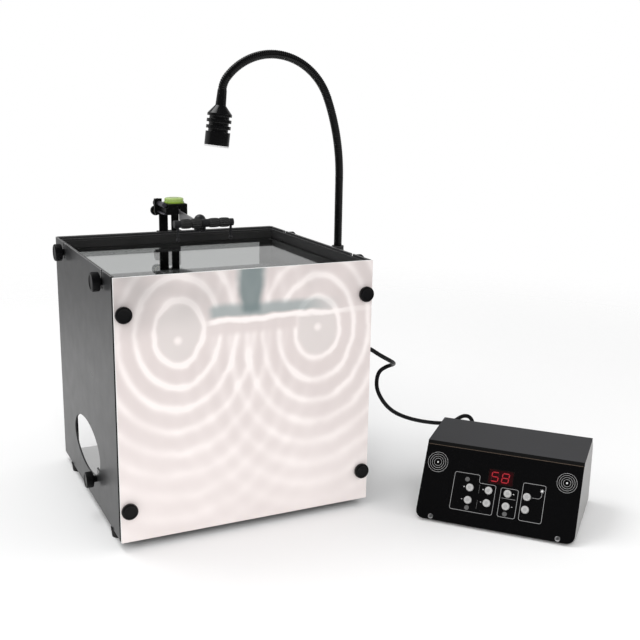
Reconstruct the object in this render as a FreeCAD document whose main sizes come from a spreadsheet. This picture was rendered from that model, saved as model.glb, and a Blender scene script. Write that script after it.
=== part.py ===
import FreeCAD, Part
import math
import os
import Sketcher

# Ripple tank: a glass-bottomed water tray on a sheet-metal case with a 45 degree mirror and a
# translucent front screen, a wave generator on a sliding post, a gooseneck lamp and a control
# console. Lengths are millimetres and angles are degrees.
#
# Tank coordinates: x runs right from the case's left side, y runs back from the screen's front
# face and z runs up from the table. The document's origin lies on the table, under the middle
# of the tank and its console, so every piece is placed by the same shift.

doc = FreeCAD.newDocument("RippleTank")
sheet = doc.addObject("Spreadsheet::Sheet", "Dims")

# ---------------------------------------------------------------- driving dimensions

CASE = {
    "tank_width": 300.0,
    "tank_depth": 297.0,
    "tank_height": 292.0,
    "foot_height": 10.0,
    "foot_radius": 10.0,
    "foot_sole_radius": 8.8,
    "foot_inset_side": 8.5,
    "foot_inset_front": 42.0,
    "foot_inset_back": 47.0,
    "metal": 2.0,
    "flange_width": 18.0,
    "screen_thickness": 3.0,
    "rail_height": 24.0,
    "rail_depth": 8.0,
    "rear_window": 58.0,
    "rear_opening": 98.0,
    "rear_flange_gap": 0.3,
    "opening_length": 133.0,
    "opening_height": 63.0,
    "opening_y": 157.0,
    "opening_z": 69.6,
    "slot_width": 5.0,
    "slot_depth": 20.0,
    "side_screw_front": 48.6,
    "side_screw_back": 52.0,
    "side_screw_drop": 12.0,
    "mirror_foot_y": 8.0,
    "mirror_foot_z": 17.0,
    "mirror_end_gap": 27.5,
    "mirror_side_gap": 2.0,
    "mirror_thickness": 4.0,
    "mirror_tilt": 45.0,
    "bed_flange": 10.0,
    "bed_flange_start": 20.0,
    "panel_bracket_width": 12.0,
    "panel_bracket_rise": 11.0,
    "case_screw_radius": 3.0,
    "case_screw_head": 2.0,
    "rear_screw_inset": 25.0,
}
TRAY = {
    "tray_gap": 0.7,
    "tray_drop": 2.3,
    "tray_wall": 3.0,
    "tray_height": 17.2,
    "ledge_width": 5.0,
    "ledge_thickness": 2.0,
    "glass_thickness": 4.0,
    "beach_height": 9.0,
    "beach_thickness": 4.0,
}
KNOBS = {
    "stud_radius": 2.0,
    "running_gap": 0.05,
    "seat_gap": 0.3,
    "side_knob_radius": 10.5,
    "side_knob_standoff": 3.0,
    "side_knob_reach": 12.0,
    "knob_shank_radius": 4.0,
    "screen_knob_radius": 9.0,
    "screen_knob_reach": 6.3,
    "screen_knob_inset": 9.0,
    "screen_knob_low": 47.0,
    "screen_knob_drop": 38.5,
    "screen_knob_shank": 0.5,
    "base_knob_radius": 9.5,
    "base_knob_standoff": 4.6,
    "base_knob_reach": 13.4,
    "base_knob_y": 112.0,
    "base_knob_z": 42.0,
    "post_knob_radius": 7.5,
    "post_knob_reach": 8.3,
    "knob_edge": 1.0,
}
GENERATOR = {
    "post_left": 138.7,
    "post_width": 27.1,
    "post_thickness": 2.0,
    "post_below": 61.0,
    "post_above": 33.0,
    "post_gap": 4.0,
    "post_slot_left": 11.9,
    "post_slot_width": 5.0,
    "post_slot_margin": 6.0,
    "guide_cheek": 2.5,
    "guide_gap": 0.3,
    "guide_plate_drop": 28.0,
    "clamp_width": 10.5,
    "clamp_depth": 9.7,
    "clamp_drop": 18.3,
    "clamp_height": 14.8,
    "post_knob_back": 4.2,
    "head_overhang": 0.2,
    "head_width": 29.2,
    "head_depth": 32.0,
    "head_height": 14.0,
    "head_above": 25.0,
    "ear_thickness": 3.5,
    "ear_margin": 3.0,
    "upper_knob_out": 0.5,
    "upper_knob_up": -1.5,
    "upper_shank_radius": 3.3,
    "upper_shank_length": 28.0,
    "upper_disc_radius": 6.0,
    "upper_disc_thickness": 5.4,
    "lower_knob_out": 1.6,
    "lower_knob_up": 1.5,
    "lower_rod_radius": 1.2,
    "lower_rod_length": 32.0,
    "lower_boss_radius": 4.1,
    "lower_disc_radius": 6.8,
    "lower_disc_thickness": 6.0,
    "level_radius": 12.5,
    "level_base_radius": 13.4,
    "level_base_height": 1.8,
    "level_height": 7.0,
    "level_edge": 1.0,
    "level_across": 16.7,
    "level_back": 14.0,
    "arm_across": 17.5,
    "arm_thickness": 2.0,
    "arm_height": 12.0,
    "arm_length": 89.0,
    "arm_up": 5.4,
    "arm_fall": 4.9,
    "arm_slot_depth": 10.5,
    "arm_slot_height": 10.0,
    "arm_pin_back": 5.5,
    "arm_pin_up": 4.0,
    "arm_pin_radius": 1.5,
    "arm_pin_grip": 4.0,
    "arm_tail_half": 3.2,
    "arm_seat_depth": 0.4,
    "bar_ahead": 13.0,
    "bar_up": 2.3,
    "bar_left_reach": 34.8,
    "bar_right_reach": 32.0,
    "bar_core_radius": 3.0,
    "bar_end_radius": 4.5,
    "bar_left_end": 8.9,
    "bar_right_end": 5.3,
    "collar_radius": 6.0,
    "collar_gap": 0.3,
    "hub_lead": 4.2,
    "hub_width": 9.2,
    "hub_radius": 5.0,
    "hub_web_step": 1.0,
    "motor_offset": 2.5,
    "motor_radius": 7.3,
    "motor_wall": 1.3,
    "motor_down": 9.0,
    "motor_up": 4.2,
    "coil_gap": 0.1,
    "leg_radius": 1.6,
    "leg_ball_radius": 2.6,
    "leg_above": 5.5,
    "leg_left_inset": 5.0,
    "leg_right_inset": 3.0,
}
LAMP = {
    "neck_out": 12.5,
    "neck_y": 113.5,
    "neck_up": 1.0,
    "neck_radius": 5.0,
    "neck_cup_gap": 0.3,
    "neck_straight": 82.5,
    "neck_sweep_radius": 259.0,
    "neck_sweep_turn": 21.6,
    "neck_rise_radius": 77.0,
    "neck_rise_turn": 62.9,
    "neck_fall_radius": 73.5,
    "neck_fall_turn": 54.9,
    "lamp_stub_radius": 28.6,
    "lamp_stub_turn": 33.8,
    "neck_socket_radius": 7.5,
    "neck_socket_drop": 2.0,
    "bracket_width": 16.0,
    "bracket_low": 26.0,
    "bracket_high": 10.0,
    "bracket_reach": 20.5,
    "ferrule_length": 17.5,
    "ferrule_top_radius": 5.3,
    "ferrule_radius": 6.1,
    "lamp_radius": 14.2,
    "lamp_length": 47.0,
    "lamp_shoulder": 9.6,
    "lamp_groove_radius": 11.5,
    "lamp_groove_width": 3.2,
    "lamp_groove_pitch": 7.15,
    "lamp_groove_start": 12.4,
    "bowl_radius": 11.0,
    "bowl_floor_radius": 4.5,
    "bowl_depth": 7.0,
    "bezel_length": 1.8,
    "lens_radius": 12.0,
    "lens_thickness": 1.4,
}
CONSOLE = {
    "console_gap": 34.4,
    "console_y": -57.8,
    "console_turn": 47.72,
    "console_width": 183.5,
    "console_depth": 137.0,
    "console_foot": 3.0,
    "console_foot_radius": 6.0,
    "console_foot_inset": 16.0,
    "panel_setback": 49.6,
    "panel_rise": 79.5,
    "top_climb": 4.3,
    "top_lip": 4.0,
    "back_bevel": 13.0,
    "back_drop": 15.8,
    "console_wall": 2.5,
    "front_thickness": 2.0,
    "front_corner_radius": 9.5,
    "top_thickness": 2.0,
    "button_radius": 4.4,
    "button_out": 2.5,
    "button_flange_lip": 1.2,
    "button_flange": 1.5,
    "button_edge": 0.5,
    "button_pitch": 22.15,
    "button_row_low": 29.6,
    "button_row_high": 44.3,
    "board_width": 118.0,
    "board_low": 14.0,
    "board_high": 76.0,
    "board_thickness": 1.6,
    "board_behind": 6.0,
    "board_post_radius": 3.0,
    "display_width": 28.0,
    "display_shift": 0.45,
    "display_low": 53.6,
    "display_high": 69.8,
    "display_recess": 0.4,
    "fit_gap": 0.3,
    "led_radius": 1.6,
    "led_beside": 4.4,
    "led_below": 8.8,
    "led_above": 9.3,
    "led_last": 16.0,
    "front_screw_low": 3.8,
    "front_screw_inset": 18.5,
    "plug_across": 24.0,
    "plug_height": 45.0,
    "plug_radius": 5.5,
    "plug_length": 20.0,
    "plug_taper": 8.0,
}
CORD = {
    "cord_radius": 2.6,
    "cord_sleeve": 1.0,
    "gland_radius": 7.0,
    "gland_step": 2.0,
    "gland_flange": 3.0,
    "gland_length": 12.0,
    "gland_y": 55.0,
    "gland_z": 186.0,
}
SIZES = {**CASE, **TRAY, **KNOBS, **GENERATOR, **LAMP, **CONSOLE, **CORD}


def middle_of_the_set(sizes):
    """Where the middle of tank and console lies, in tank coordinates."""
    turn = math.radians(sizes["console_turn"])
    right = (sizes["tank_width"] + sizes["console_gap"] + sizes["console_width"] * math.cos(turn)
             + sizes["console_depth"] * math.sin(turn))
    front = sizes["console_y"] - sizes["console_width"] * math.sin(turn)
    back = (sizes["tank_depth"] + sizes["post_gap"] + sizes["post_thickness"] + sizes["seat_gap"]
            + sizes["upper_disc_thickness"] + sizes["seat_gap"] + sizes["lower_disc_thickness"])
    return (right - sizes["base_knob_reach"]) / 2, (front + back) / 2


SIZES["origin_x"], SIZES["origin_y"] = middle_of_the_set(SIZES)
for row, (alias, number) in enumerate(SIZES.items(), 1):
    sheet.set("A%d" % row, alias)
    sheet.set("B%d" % row, str(round(number, 4)))
    sheet.setAlias("B%d" % row, alias)
doc.recompute()


# ---------------------------------------------------------------- sizes and bindings

class Size:
    """A number and the spreadsheet formula that it comes from."""

    def __init__(self, number, formula):
        self.number = float(number)
        self.formula = formula

    def __float__(self):
        return self.number

    def __add__(self, other):
        return combine(self, "+", other, float(self) + float(other))

    def __radd__(self, other):
        return combine(other, "+", self, float(other) + float(self))

    def __sub__(self, other):
        return combine(self, "-", other, float(self) - float(other))

    def __rsub__(self, other):
        return combine(other, "-", self, float(other) - float(self))

    def __mul__(self, other):
        return combine(self, "*", other, float(self) * float(other))

    def __rmul__(self, other):
        return combine(other, "*", self, float(other) * float(self))

    def __truediv__(self, other):
        return combine(self, "/", other, float(self) / float(other))

    def __neg__(self):
        return combine(0, "-", self, -float(self))


def formula_of(value):
    return value.formula if isinstance(value, Size) else repr(float(value))


def combine(left, sign, right, number):
    return Size(number, "(%s %s %s)" % (formula_of(left), sign, formula_of(right)))


def sine(angle):
    return Size(math.sin(math.radians(float(angle))), "sin(%s)" % formula_of(angle))


def cosine(angle):
    return Size(math.cos(math.radians(float(angle))), "cos(%s)" % formula_of(angle))


def smaller(one, other):
    return Size(min(float(one), float(other)), "min(%s; %s)" % (formula_of(one), formula_of(other)))


class Sheet:
    """Gives each cell of the spreadsheet as a Size: dim.tank_width."""

    def __getattr__(self, alias):
        return Size(float(sheet.get(alias)), "Dims." + alias)


dim = Sheet()


def bind(thing, path, value):
    """Ties one property of an object to its spreadsheet formula."""
    thing.setExpression(path, formula_of(value))


def bind_place(thing, x, y, z):
    bind(thing, ".Placement.Base.x", x)
    bind(thing, ".Placement.Base.y", y)
    bind(thing, ".Placement.Base.z", z)


pieces = []


def keep(thing, label, x=0, y=0, z=0, turn=None):
    """Makes an object a sub-part: its label, and its place in tank coordinates."""
    if turn is not None:
        thing.Placement = FreeCAD.Placement(FreeCAD.Vector(), turn)
    thing.Label = label
    bind_place(thing, x - dim.origin_x, y - dim.origin_y, z)
    pieces.append(thing)
    return thing


# ---------------------------------------------------------------- primitives and booleans

def box(x, y, z):
    """A Part box between two values along each axis."""
    solid = doc.addObject("Part::Box", "Block")
    bind(solid, "Length", x[1] - x[0])
    bind(solid, "Width", y[1] - y[0])
    bind(solid, "Height", z[1] - z[0])
    bind_place(solid, x[0], y[0], z[0])
    return solid


ALONG = {
    "+x": FreeCAD.Rotation(FreeCAD.Vector(0, 1, 0), 90),
    "-x": FreeCAD.Rotation(FreeCAD.Vector(0, 1, 0), -90),
    "+y": FreeCAD.Rotation(FreeCAD.Vector(1, 0, 0), -90),
    "-y": FreeCAD.Rotation(FreeCAD.Vector(1, 0, 0), 90),
    "+z": FreeCAD.Rotation(),
}


def rod(radius, length, x, y, z, along="+z"):
    """A Part cylinder that starts at a point and runs along an axis."""
    solid = doc.addObject("Part::Cylinder", "Rod")
    bind(solid, "Radius", radius)
    bind(solid, "Height", length)
    solid.Placement = FreeCAD.Placement(FreeCAD.Vector(), ALONG[along])
    bind_place(solid, x, y, z)
    return solid


def ball(radius, x, y, z):
    solid = doc.addObject("Part::Sphere", "Ball")
    bind(solid, "Radius", radius)
    bind_place(solid, x, y, z)
    return solid


def fuse(solids):
    joined = doc.addObject("Part::MultiFuse", "Joined")
    joined.Shapes = solids
    return joined


def group(solids):
    """Several separate solids that share one sub-part."""
    together = doc.addObject("Part::Compound", "Group")
    together.Links = solids
    return together


def cut(base, tools):
    rest = doc.addObject("Part::Cut", "Rest")
    rest.Base = base
    rest.Tool = tools[0] if len(tools) == 1 else fuse(tools)
    return rest


# ---------------------------------------------------------------- sketched bodies

def new_sketch(body, role, level=0):
    """A sketch on one of the body's origin planes, lifted by level along the plane's normal."""
    sketch = body.newObject("Sketcher::SketchObject", "Outline")
    plane = [f for f in body.Origin.OriginFeatures if f.Role == role][0]
    sketch.AttachmentSupport = [(plane, "")]
    sketch.MapMode = "FlatFace"
    bind(sketch, ".AttachmentOffset.Base.z", level)
    return sketch


def tie_point(sketch, line, point, axis, value):
    """Holds one coordinate of a sketched point at a spreadsheet value."""
    kind = "DistanceX" if axis == 0 else "DistanceY"
    number = float(value)
    if abs(number) < 1e-9:
        on_axis = -2 if axis == 0 else -1
        sketch.addConstraint(Sketcher.Constraint("PointOnObject", line, point, on_axis))
        return
    index = sketch.addConstraint(Sketcher.Constraint(kind, -1, 1, line, point, number))
    if isinstance(value, Size):
        sketch.setExpression("Constraints[%d]" % index, value.formula)


def polygon(sketch, points):
    """A closed outline whose corners are held at spreadsheet values."""
    first = sketch.GeometryCount
    count = len(points)
    ends = [FreeCAD.Vector(float(p[0]), float(p[1]), 0) for p in points]
    for i in range(count):
        sketch.addGeometry(Part.LineSegment(ends[i], ends[(i + 1) % count]), False)
    for i in range(count):
        following = first + (i + 1) % count
        sketch.addConstraint(Sketcher.Constraint("Coincident", first + i, 2, following, 1))
    for i, corner in enumerate(points):
        tie_point(sketch, first + i, 1, 0, corner[0])
        tie_point(sketch, first + i, 1, 1, corner[1])


def pad(body, sketch, length):
    feature = body.newObject("PartDesign::Pad", "Pad")
    feature.Profile = sketch
    bind(feature, "Length", length)
    return feature


def drilled(body, role, centres, radius):
    """Pockets round holes through the whole body."""
    sketch = new_sketch(body, role)
    for x, y in centres:
        middle = FreeCAD.Vector(float(x), float(y), 0)
        circle = sketch.addGeometry(Part.Circle(middle, FreeCAD.Vector(0, 0, 1), float(radius)), False)
        tie_point(sketch, circle, 3, 0, x)
        tie_point(sketch, circle, 3, 1, y)
        index = sketch.addConstraint(Sketcher.Constraint("Radius", circle, float(radius)))
        if isinstance(radius, Size):
            sketch.setExpression("Constraints[%d]" % index, radius.formula)
    pocket = body.newObject("PartDesign::Pocket", "Holes")
    pocket.Profile = sketch
    pocket.Type = "ThroughAll"
    pocket.Midplane = True
    return pocket


def turned(name, profile):
    """A body turned about its own Z axis from (radius, height) corners."""
    body = doc.addObject("PartDesign::Body", name)
    sketch = new_sketch(body, "XZ_Plane")
    polygon(sketch, profile)
    feature = body.newObject("PartDesign::Revolution", "Turn")
    feature.Profile = sketch
    feature.ReferenceAxis = (sketch, ["V_Axis"])
    feature.Angle = 360
    return body


def knob(label, x, y, z, along, stud, shank, head):
    """A knob on a stud that reaches in from the seat at 0; shank and head are (radius, outer end)."""
    edge = dim.knob_edge
    profile = [
        (0, -stud), (dim.stud_radius, -stud), (dim.stud_radius, dim.seat_gap),
        (shank[0], dim.seat_gap), (shank[0], shank[1]), (head[0] - edge, shank[1]),
        (head[0], shank[1] + edge), (head[0], head[1] - edge), (head[0] - edge, head[1]),
        (0, head[1]),
    ]
    return keep(turned(label, profile), label, x, y, z, ALONG[along])


# ---------------------------------------------------------------- shared levels

PAST = 1.0      # how far a cutting tool reaches past the faces that it cuts

case_top = dim.foot_height + dim.tank_height
inner_back = dim.tank_depth - dim.metal
rail_front = dim.tank_depth - dim.rail_depth
rail_bottom = case_top - dim.rail_height
flange_front = dim.screen_thickness
flange_back = dim.screen_thickness + dim.metal
floor_top = dim.foot_height + dim.metal
side_screw_z = case_top - dim.side_screw_drop
side_screw_spots = (dim.side_screw_front, dim.tank_depth - dim.side_screw_back)
screen_knob_levels = (dim.screen_knob_low, case_top - dim.screen_knob_drop)
inner_right = dim.tank_width - dim.metal
rear_panel_top = rail_bottom - dim.rear_window
rear_panel_bottom = floor_top + dim.rear_opening
post_front = dim.tank_depth + dim.post_gap
post_back = post_front + dim.post_thickness
tray_top = case_top - dim.tray_drop
tray_bottom = tray_top - dim.tray_height
glass_bottom = tray_bottom + dim.ledge_thickness
glass_top = glass_bottom + dim.glass_thickness
tray_x = (dim.metal + dim.tray_gap, inner_right - dim.tray_gap)
tray_y = (flange_back + dim.tray_gap, rail_front - dim.tray_gap)
basin_x = (tray_x[0] + dim.tray_wall, tray_x[1] - dim.tray_wall)
basin_y = (tray_y[0] + dim.tray_wall, tray_y[1] - dim.tray_wall)


# ---------------------------------------------------------------- tank case

def side_panel(label, left_side):
    """A folded side panel: the plate, a flange behind the screen and a flange at the back."""
    body = doc.addObject("PartDesign::Body", label + "_fold")
    sketch = new_sketch(body, "XY_Plane")
    outer = 0 if left_side else dim.tank_width
    inner = dim.metal if left_side else inner_right
    tip = dim.flange_width if left_side else dim.tank_width - dim.flange_width
    polygon(sketch, [
        (outer, flange_front), (tip, flange_front), (tip, flange_back), (inner, flange_back),
        (inner, inner_back), (tip, inner_back), (tip, dim.tank_depth), (outer, dim.tank_depth),
    ])
    pad(body, sketch, dim.tank_height)
    bind(body, ".Placement.Base.z", dim.foot_height)
    flange = (-PAST, dim.flange_width) if left_side else (tip, dim.tank_width + PAST)
    plate = (-PAST, dim.metal + PAST) if left_side else (inner_right - PAST, dim.tank_width + PAST)
    half = dim.slot_width / 2
    tools = [box(flange, (inner_back, dim.tank_depth + PAST),
                 (rail_bottom - dim.rear_flange_gap, case_top + PAST))]
    for y in side_screw_spots:
        tools.append(box(plate, (y - half, y + half), (case_top - dim.slot_depth, case_top + PAST)))
    knob_x = dim.screen_knob_inset if left_side else dim.tank_width - dim.screen_knob_inset
    for z in screen_knob_levels:
        tools.append(rod(dim.stud_radius + dim.running_gap, flange_back + PAST, knob_x, 0, z, "+y"))
    if left_side:
        tools.append(access_opening())
        tools.append(rod(dim.stud_radius + dim.running_gap, dim.metal + 2 * PAST, -PAST,
                         dim.base_knob_y, dim.base_knob_z, "+x"))
    return keep(cut(body, tools), label)


def access_opening():
    """The oval opening of the left panel, as a tool that runs through the plate."""
    oval = doc.addObject("Part::Ellipse", "Oval")
    bind(oval, "MajorRadius", dim.opening_length / 2)
    bind(oval, "MinorRadius", dim.opening_height / 2)
    along_y = FreeCAD.Rotation(FreeCAD.Vector(0, 1, 0), FreeCAD.Vector(0, 0, 1),
                               FreeCAD.Vector(1, 0, 0), "XYZ")
    oval.Placement = FreeCAD.Placement(FreeCAD.Vector(), along_y)
    bind_place(oval, -PAST, dim.opening_y, dim.opening_z)
    tool = doc.addObject("Part::Extrusion", "OvalTool")
    tool.Base = oval
    tool.DirMode = "Custom"
    tool.Dir = FreeCAD.Vector(1, 0, 0)
    tool.Solid = True
    bind(tool, "LengthFwd", dim.metal + 2 * PAST)
    return tool


def base_panel():
    """The floor of the case, with the upstand that the left panel's lower knob screws into."""
    plate = box((dim.metal, inner_right), (flange_back, inner_back), (dim.foot_height, floor_top))
    half = dim.panel_bracket_width / 2
    upstand = box((dim.metal, 2 * dim.metal), (dim.base_knob_y - half, dim.base_knob_y + half),
                  (dim.foot_height, dim.base_knob_z + dim.panel_bracket_rise))
    hole = rod(dim.stud_radius + dim.running_gap, dim.metal + 2 * PAST, dim.metal - PAST,
               dim.base_knob_y, dim.base_knob_z, "+x")
    return keep(cut(fuse([plate, upstand]), [hole]), "base_panel")


def rear_panel():
    """The rear panel, with openings above and below it."""
    plate = box((dim.metal, inner_right), (inner_back - dim.metal, inner_back),
                (rear_panel_bottom, rear_panel_top))
    return keep(group([plate]), "rear_panel")


def rear_rail():
    """A folded channel across the back, open below, that carries the post's guide."""
    outside = box((dim.metal, inner_right), (rail_front, dim.tank_depth), (rail_bottom, case_top))
    inside = box((0, dim.tank_width), (rail_front + dim.metal, inner_back),
                 (rail_bottom - PAST, case_top - dim.metal))
    return keep(cut(outside, [inside]), "rear_rail")


def screen():
    """The translucent screen that covers the whole front, with four knob holes."""
    body = doc.addObject("PartDesign::Body", "screen")
    sketch = new_sketch(body, "XZ_Plane")
    polygon(sketch, [(0, dim.foot_height), (dim.tank_width, dim.foot_height),
                     (dim.tank_width, case_top), (0, case_top)])
    sheet_pad = pad(body, sketch, dim.screen_thickness)
    sheet_pad.Reversed = True
    doc.recompute()
    centres = []
    for x in (dim.screen_knob_inset, dim.tank_width - dim.screen_knob_inset):
        for z in screen_knob_levels:
            centres.append((x, z))
    drilled(body, "XZ_Plane", centres, dim.stud_radius + dim.running_gap)
    return keep(body, "screen")


def mirror_pieces():
    """The mirror glass and its folded bed, built flat and tilted about their foot."""
    tilt = FreeCAD.Rotation(FreeCAD.Vector(1, 0, 0), float(dim.mirror_tilt))
    under_tray = (tray_bottom - dim.mirror_end_gap - dim.mirror_foot_z) / sine(dim.mirror_tilt)
    before_back = ((inner_back - dim.metal - dim.mirror_end_gap - dim.mirror_foot_y)
                   / cosine(dim.mirror_tilt))
    length = smaller(under_tray, before_back)
    glass = box((dim.metal + dim.mirror_side_gap, inner_right - dim.mirror_side_gap), (0, length),
                (-dim.mirror_thickness, 0))
    bed_top = -dim.mirror_thickness
    bed_bottom = bed_top - dim.metal
    parts = [box((dim.metal, inner_right), (0, length), (bed_bottom, bed_top))]
    for x in (dim.metal, inner_right - dim.metal):
        parts.append(box((x, x + dim.metal), (dim.bed_flange_start, length),
                         (bed_bottom - dim.bed_flange, bed_top)))
    keep(group([glass]), "mirror", 0, dim.mirror_foot_y, dim.mirror_foot_z, tilt)
    keep(fuse(parts), "mirror_bed", 0, dim.mirror_foot_y, dim.mirror_foot_z, tilt)


def tank_feet():
    """Four domed rubber feet with a flat sole."""
    feet = []
    for x in (dim.foot_inset_side, dim.tank_width - dim.foot_inset_side):
        for y in (dim.foot_inset_front, dim.tank_depth - dim.foot_inset_back):
            cone = doc.addObject("Part::Cone", "Foot")
            bind(cone, "Radius1", dim.foot_sole_radius)
            bind(cone, "Radius2", dim.foot_radius)
            bind(cone, "Height", dim.foot_height)
            bind_place(cone, x, y, 0)
            dome = ball(dim.foot_radius, x, y, dim.foot_height)
            slab = box((x - dim.foot_radius, x + dim.foot_radius),
                       (y - dim.foot_radius, y + dim.foot_radius), (0, dim.foot_height))
            lower = doc.addObject("Part::MultiCommon", "Dome")
            lower.Shapes = [dome, slab]
            feet.append(fuse([lower, cone]))
    return keep(group(feet), "tank_feet")


def screw_head(x, y, z, along):
    return rod(dim.case_screw_radius, dim.case_screw_head, x, y, z, along)


def rear_screws():
    """Screws through the back flanges into the rear panel, and two that hold the rail."""
    heads = []
    inset = (dim.flange_width + dim.metal) / 2
    for x in (inset, dim.tank_width - inset):
        for z in (rear_panel_bottom + dim.rear_screw_inset, rear_panel_top - dim.rear_screw_inset,
                  rail_bottom + dim.rail_height / 2):
            heads.append(screw_head(x, dim.tank_depth, z, "+y"))
    return heads


# ---------------------------------------------------------------- water tray

def tray_pieces():
    """The tray frame with its glass ledge, the glass, and two foam beaches that damp echoes."""
    outside = box(tray_x, tray_y, (tray_bottom, tray_top))
    basin = box(basin_x, basin_y, (glass_bottom, tray_top + PAST))
    light = box((basin_x[0] + dim.ledge_width, basin_x[1] - dim.ledge_width),
                (basin_y[0] + dim.ledge_width, basin_y[1] - dim.ledge_width),
                (tray_bottom - PAST, glass_bottom + PAST))
    bores = []
    for y in side_screw_spots:
        bores.append(rod(dim.stud_radius + dim.running_gap, dim.tank_width, 0, y, side_screw_z, "+x"))
    keep(cut(outside, [basin, light] + bores), "tray_frame")
    keep(group([box(basin_x, basin_y, (glass_bottom, glass_top))]), "tray_glass")
    beaches = []
    for y in (basin_y[0], basin_y[1] - dim.beach_thickness):
        beaches.append(box(basin_x, (y, y + dim.beach_thickness),
                           (glass_top, glass_top + dim.beach_height)))
    keep(group(beaches), "beach_strips")


def tank_knobs():
    """Four knobs on the screen, four on the tray's sides and one at the left panel's foot."""
    for row, z in zip(("lower", "upper"), screen_knob_levels):
        for side, x in (("left", dim.screen_knob_inset),
                        ("right", dim.tank_width - dim.screen_knob_inset)):
            knob("screen_knob_%s_%s" % (row, side), x, 0, z, "-y", flange_back,
                 (dim.knob_shank_radius, dim.seat_gap + dim.screen_knob_shank),
                 (dim.screen_knob_radius, dim.screen_knob_reach))
    reach = dim.metal + dim.tray_gap + dim.tray_wall - dim.seat_gap
    for place, y in zip(("front", "rear"), side_screw_spots):
        for side, x, along in (("left", 0, "-x"), ("right", dim.tank_width, "+x")):
            knob("side_knob_%s_%s" % (side, place), x, y, side_screw_z, along, reach,
                 (dim.knob_shank_radius, dim.side_knob_standoff),
                 (dim.side_knob_radius, dim.side_knob_reach))
    knob("base_knob", 0, dim.base_knob_y, dim.base_knob_z, "-x", 3 * dim.metal,
         (dim.knob_shank_radius, dim.base_knob_standoff), (dim.base_knob_radius, dim.base_knob_reach))


# ---------------------------------------------------------------- post and wave generator

post_x = (dim.post_left, dim.post_left + dim.post_width)
slot_x = (dim.post_left + dim.post_slot_left,
          dim.post_left + dim.post_slot_left + dim.post_slot_width)
head_bottom = case_top + dim.head_above
head_top = head_bottom + dim.head_height
head_left = dim.post_left - dim.head_overhang
head_front = post_front - dim.head_depth
upper_knob_x = head_left - dim.upper_knob_out
upper_knob_z = head_top + dim.upper_knob_up
lower_knob_x = head_left - dim.lower_knob_out
lower_knob_z = head_bottom + dim.lower_knob_up
arm_x = (head_left + dim.arm_across, head_left + dim.arm_across + dim.arm_thickness)
arm_top = head_bottom + dim.arm_up
pin_y = head_front + dim.arm_pin_back
pin_z = head_bottom + dim.arm_pin_up
motor_x = (arm_x[0] + arm_x[1]) / 2 - dim.motor_offset
motor_y = head_front - dim.arm_length
motor_flat = motor_y + dim.motor_radius - dim.arm_seat_depth
bar_y = motor_y - dim.bar_ahead
bar_z = head_bottom + dim.bar_up
hub_x = (arm_x[0] - dim.hub_lead, arm_x[0] - dim.hub_lead + dim.hub_width)
bar_x = (hub_x[0] - dim.bar_left_reach, hub_x[1] + dim.bar_right_reach)
guide_x = (post_x[0] - dim.guide_gap - dim.guide_cheek, post_x[1] + dim.guide_gap + dim.guide_cheek)
guide_front = post_front - dim.guide_gap
guide_back = post_back + dim.guide_gap
guide_bottom = rail_bottom - dim.guide_plate_drop
clamp_x = (dim.post_left + dim.guide_gap, dim.post_left + dim.guide_gap + dim.clamp_width)
clamp_bottom = rail_bottom - dim.clamp_drop
clamp_top = clamp_bottom + dim.clamp_height
post_knob_z = (clamp_bottom + clamp_top) / 2
post_knob_y = guide_front - dim.post_knob_back


def post_guide():
    """The channel on the rail that the post slides in, with the block of its clamp knob."""
    back = (guide_back, guide_back + dim.guide_cheek)
    parts = [
        box(guide_x, (dim.tank_depth, guide_front), (rail_bottom, case_top)),
        box(guide_x, back, (rail_bottom, case_top)),
        box((post_x[0], guide_x[1]), back, (guide_bottom, rail_bottom)),
        box((guide_x[0], guide_x[0] + dim.guide_cheek), (dim.tank_depth, guide_back),
            (rail_bottom, case_top)),
        box((guide_x[1] - dim.guide_cheek, guide_x[1]), (dim.tank_depth, guide_back),
            (rail_bottom, case_top)),
        box(clamp_x, (dim.tank_depth, guide_front), (clamp_bottom, rail_bottom)),
        box(clamp_x, (guide_front - dim.clamp_depth, guide_front), (clamp_bottom, clamp_top)),
    ]
    hole = rod(dim.stud_radius + dim.running_gap, dim.clamp_width + 2 * PAST, clamp_x[0] - PAST,
               post_knob_y, post_knob_z, "+x")
    keep(cut(fuse(parts), [hole]), "post_guide")
    knob("post_knob", clamp_x[0], post_knob_y, post_knob_z, "-x", dim.clamp_width,
         (dim.knob_shank_radius, 2 * dim.seat_gap), (dim.post_knob_radius, dim.post_knob_reach))


def post():
    """The slotted post; the slot has round ends."""
    bottom = case_top - dim.post_below
    plate = box(post_x, (post_front, post_back), (bottom, case_top + dim.post_above))
    half = dim.post_slot_width / 2
    low = bottom + dim.post_slot_margin + half
    high = head_bottom - half
    tools = [box(slot_x, (post_front - PAST, post_back + PAST), (low, high))]
    for z in (low, high):
        tools.append(rod(half, dim.post_thickness + 2 * PAST, slot_x[0] + half, post_front - PAST,
                         z, "+y"))
    return keep(cut(plate, tools), "post")


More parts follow.
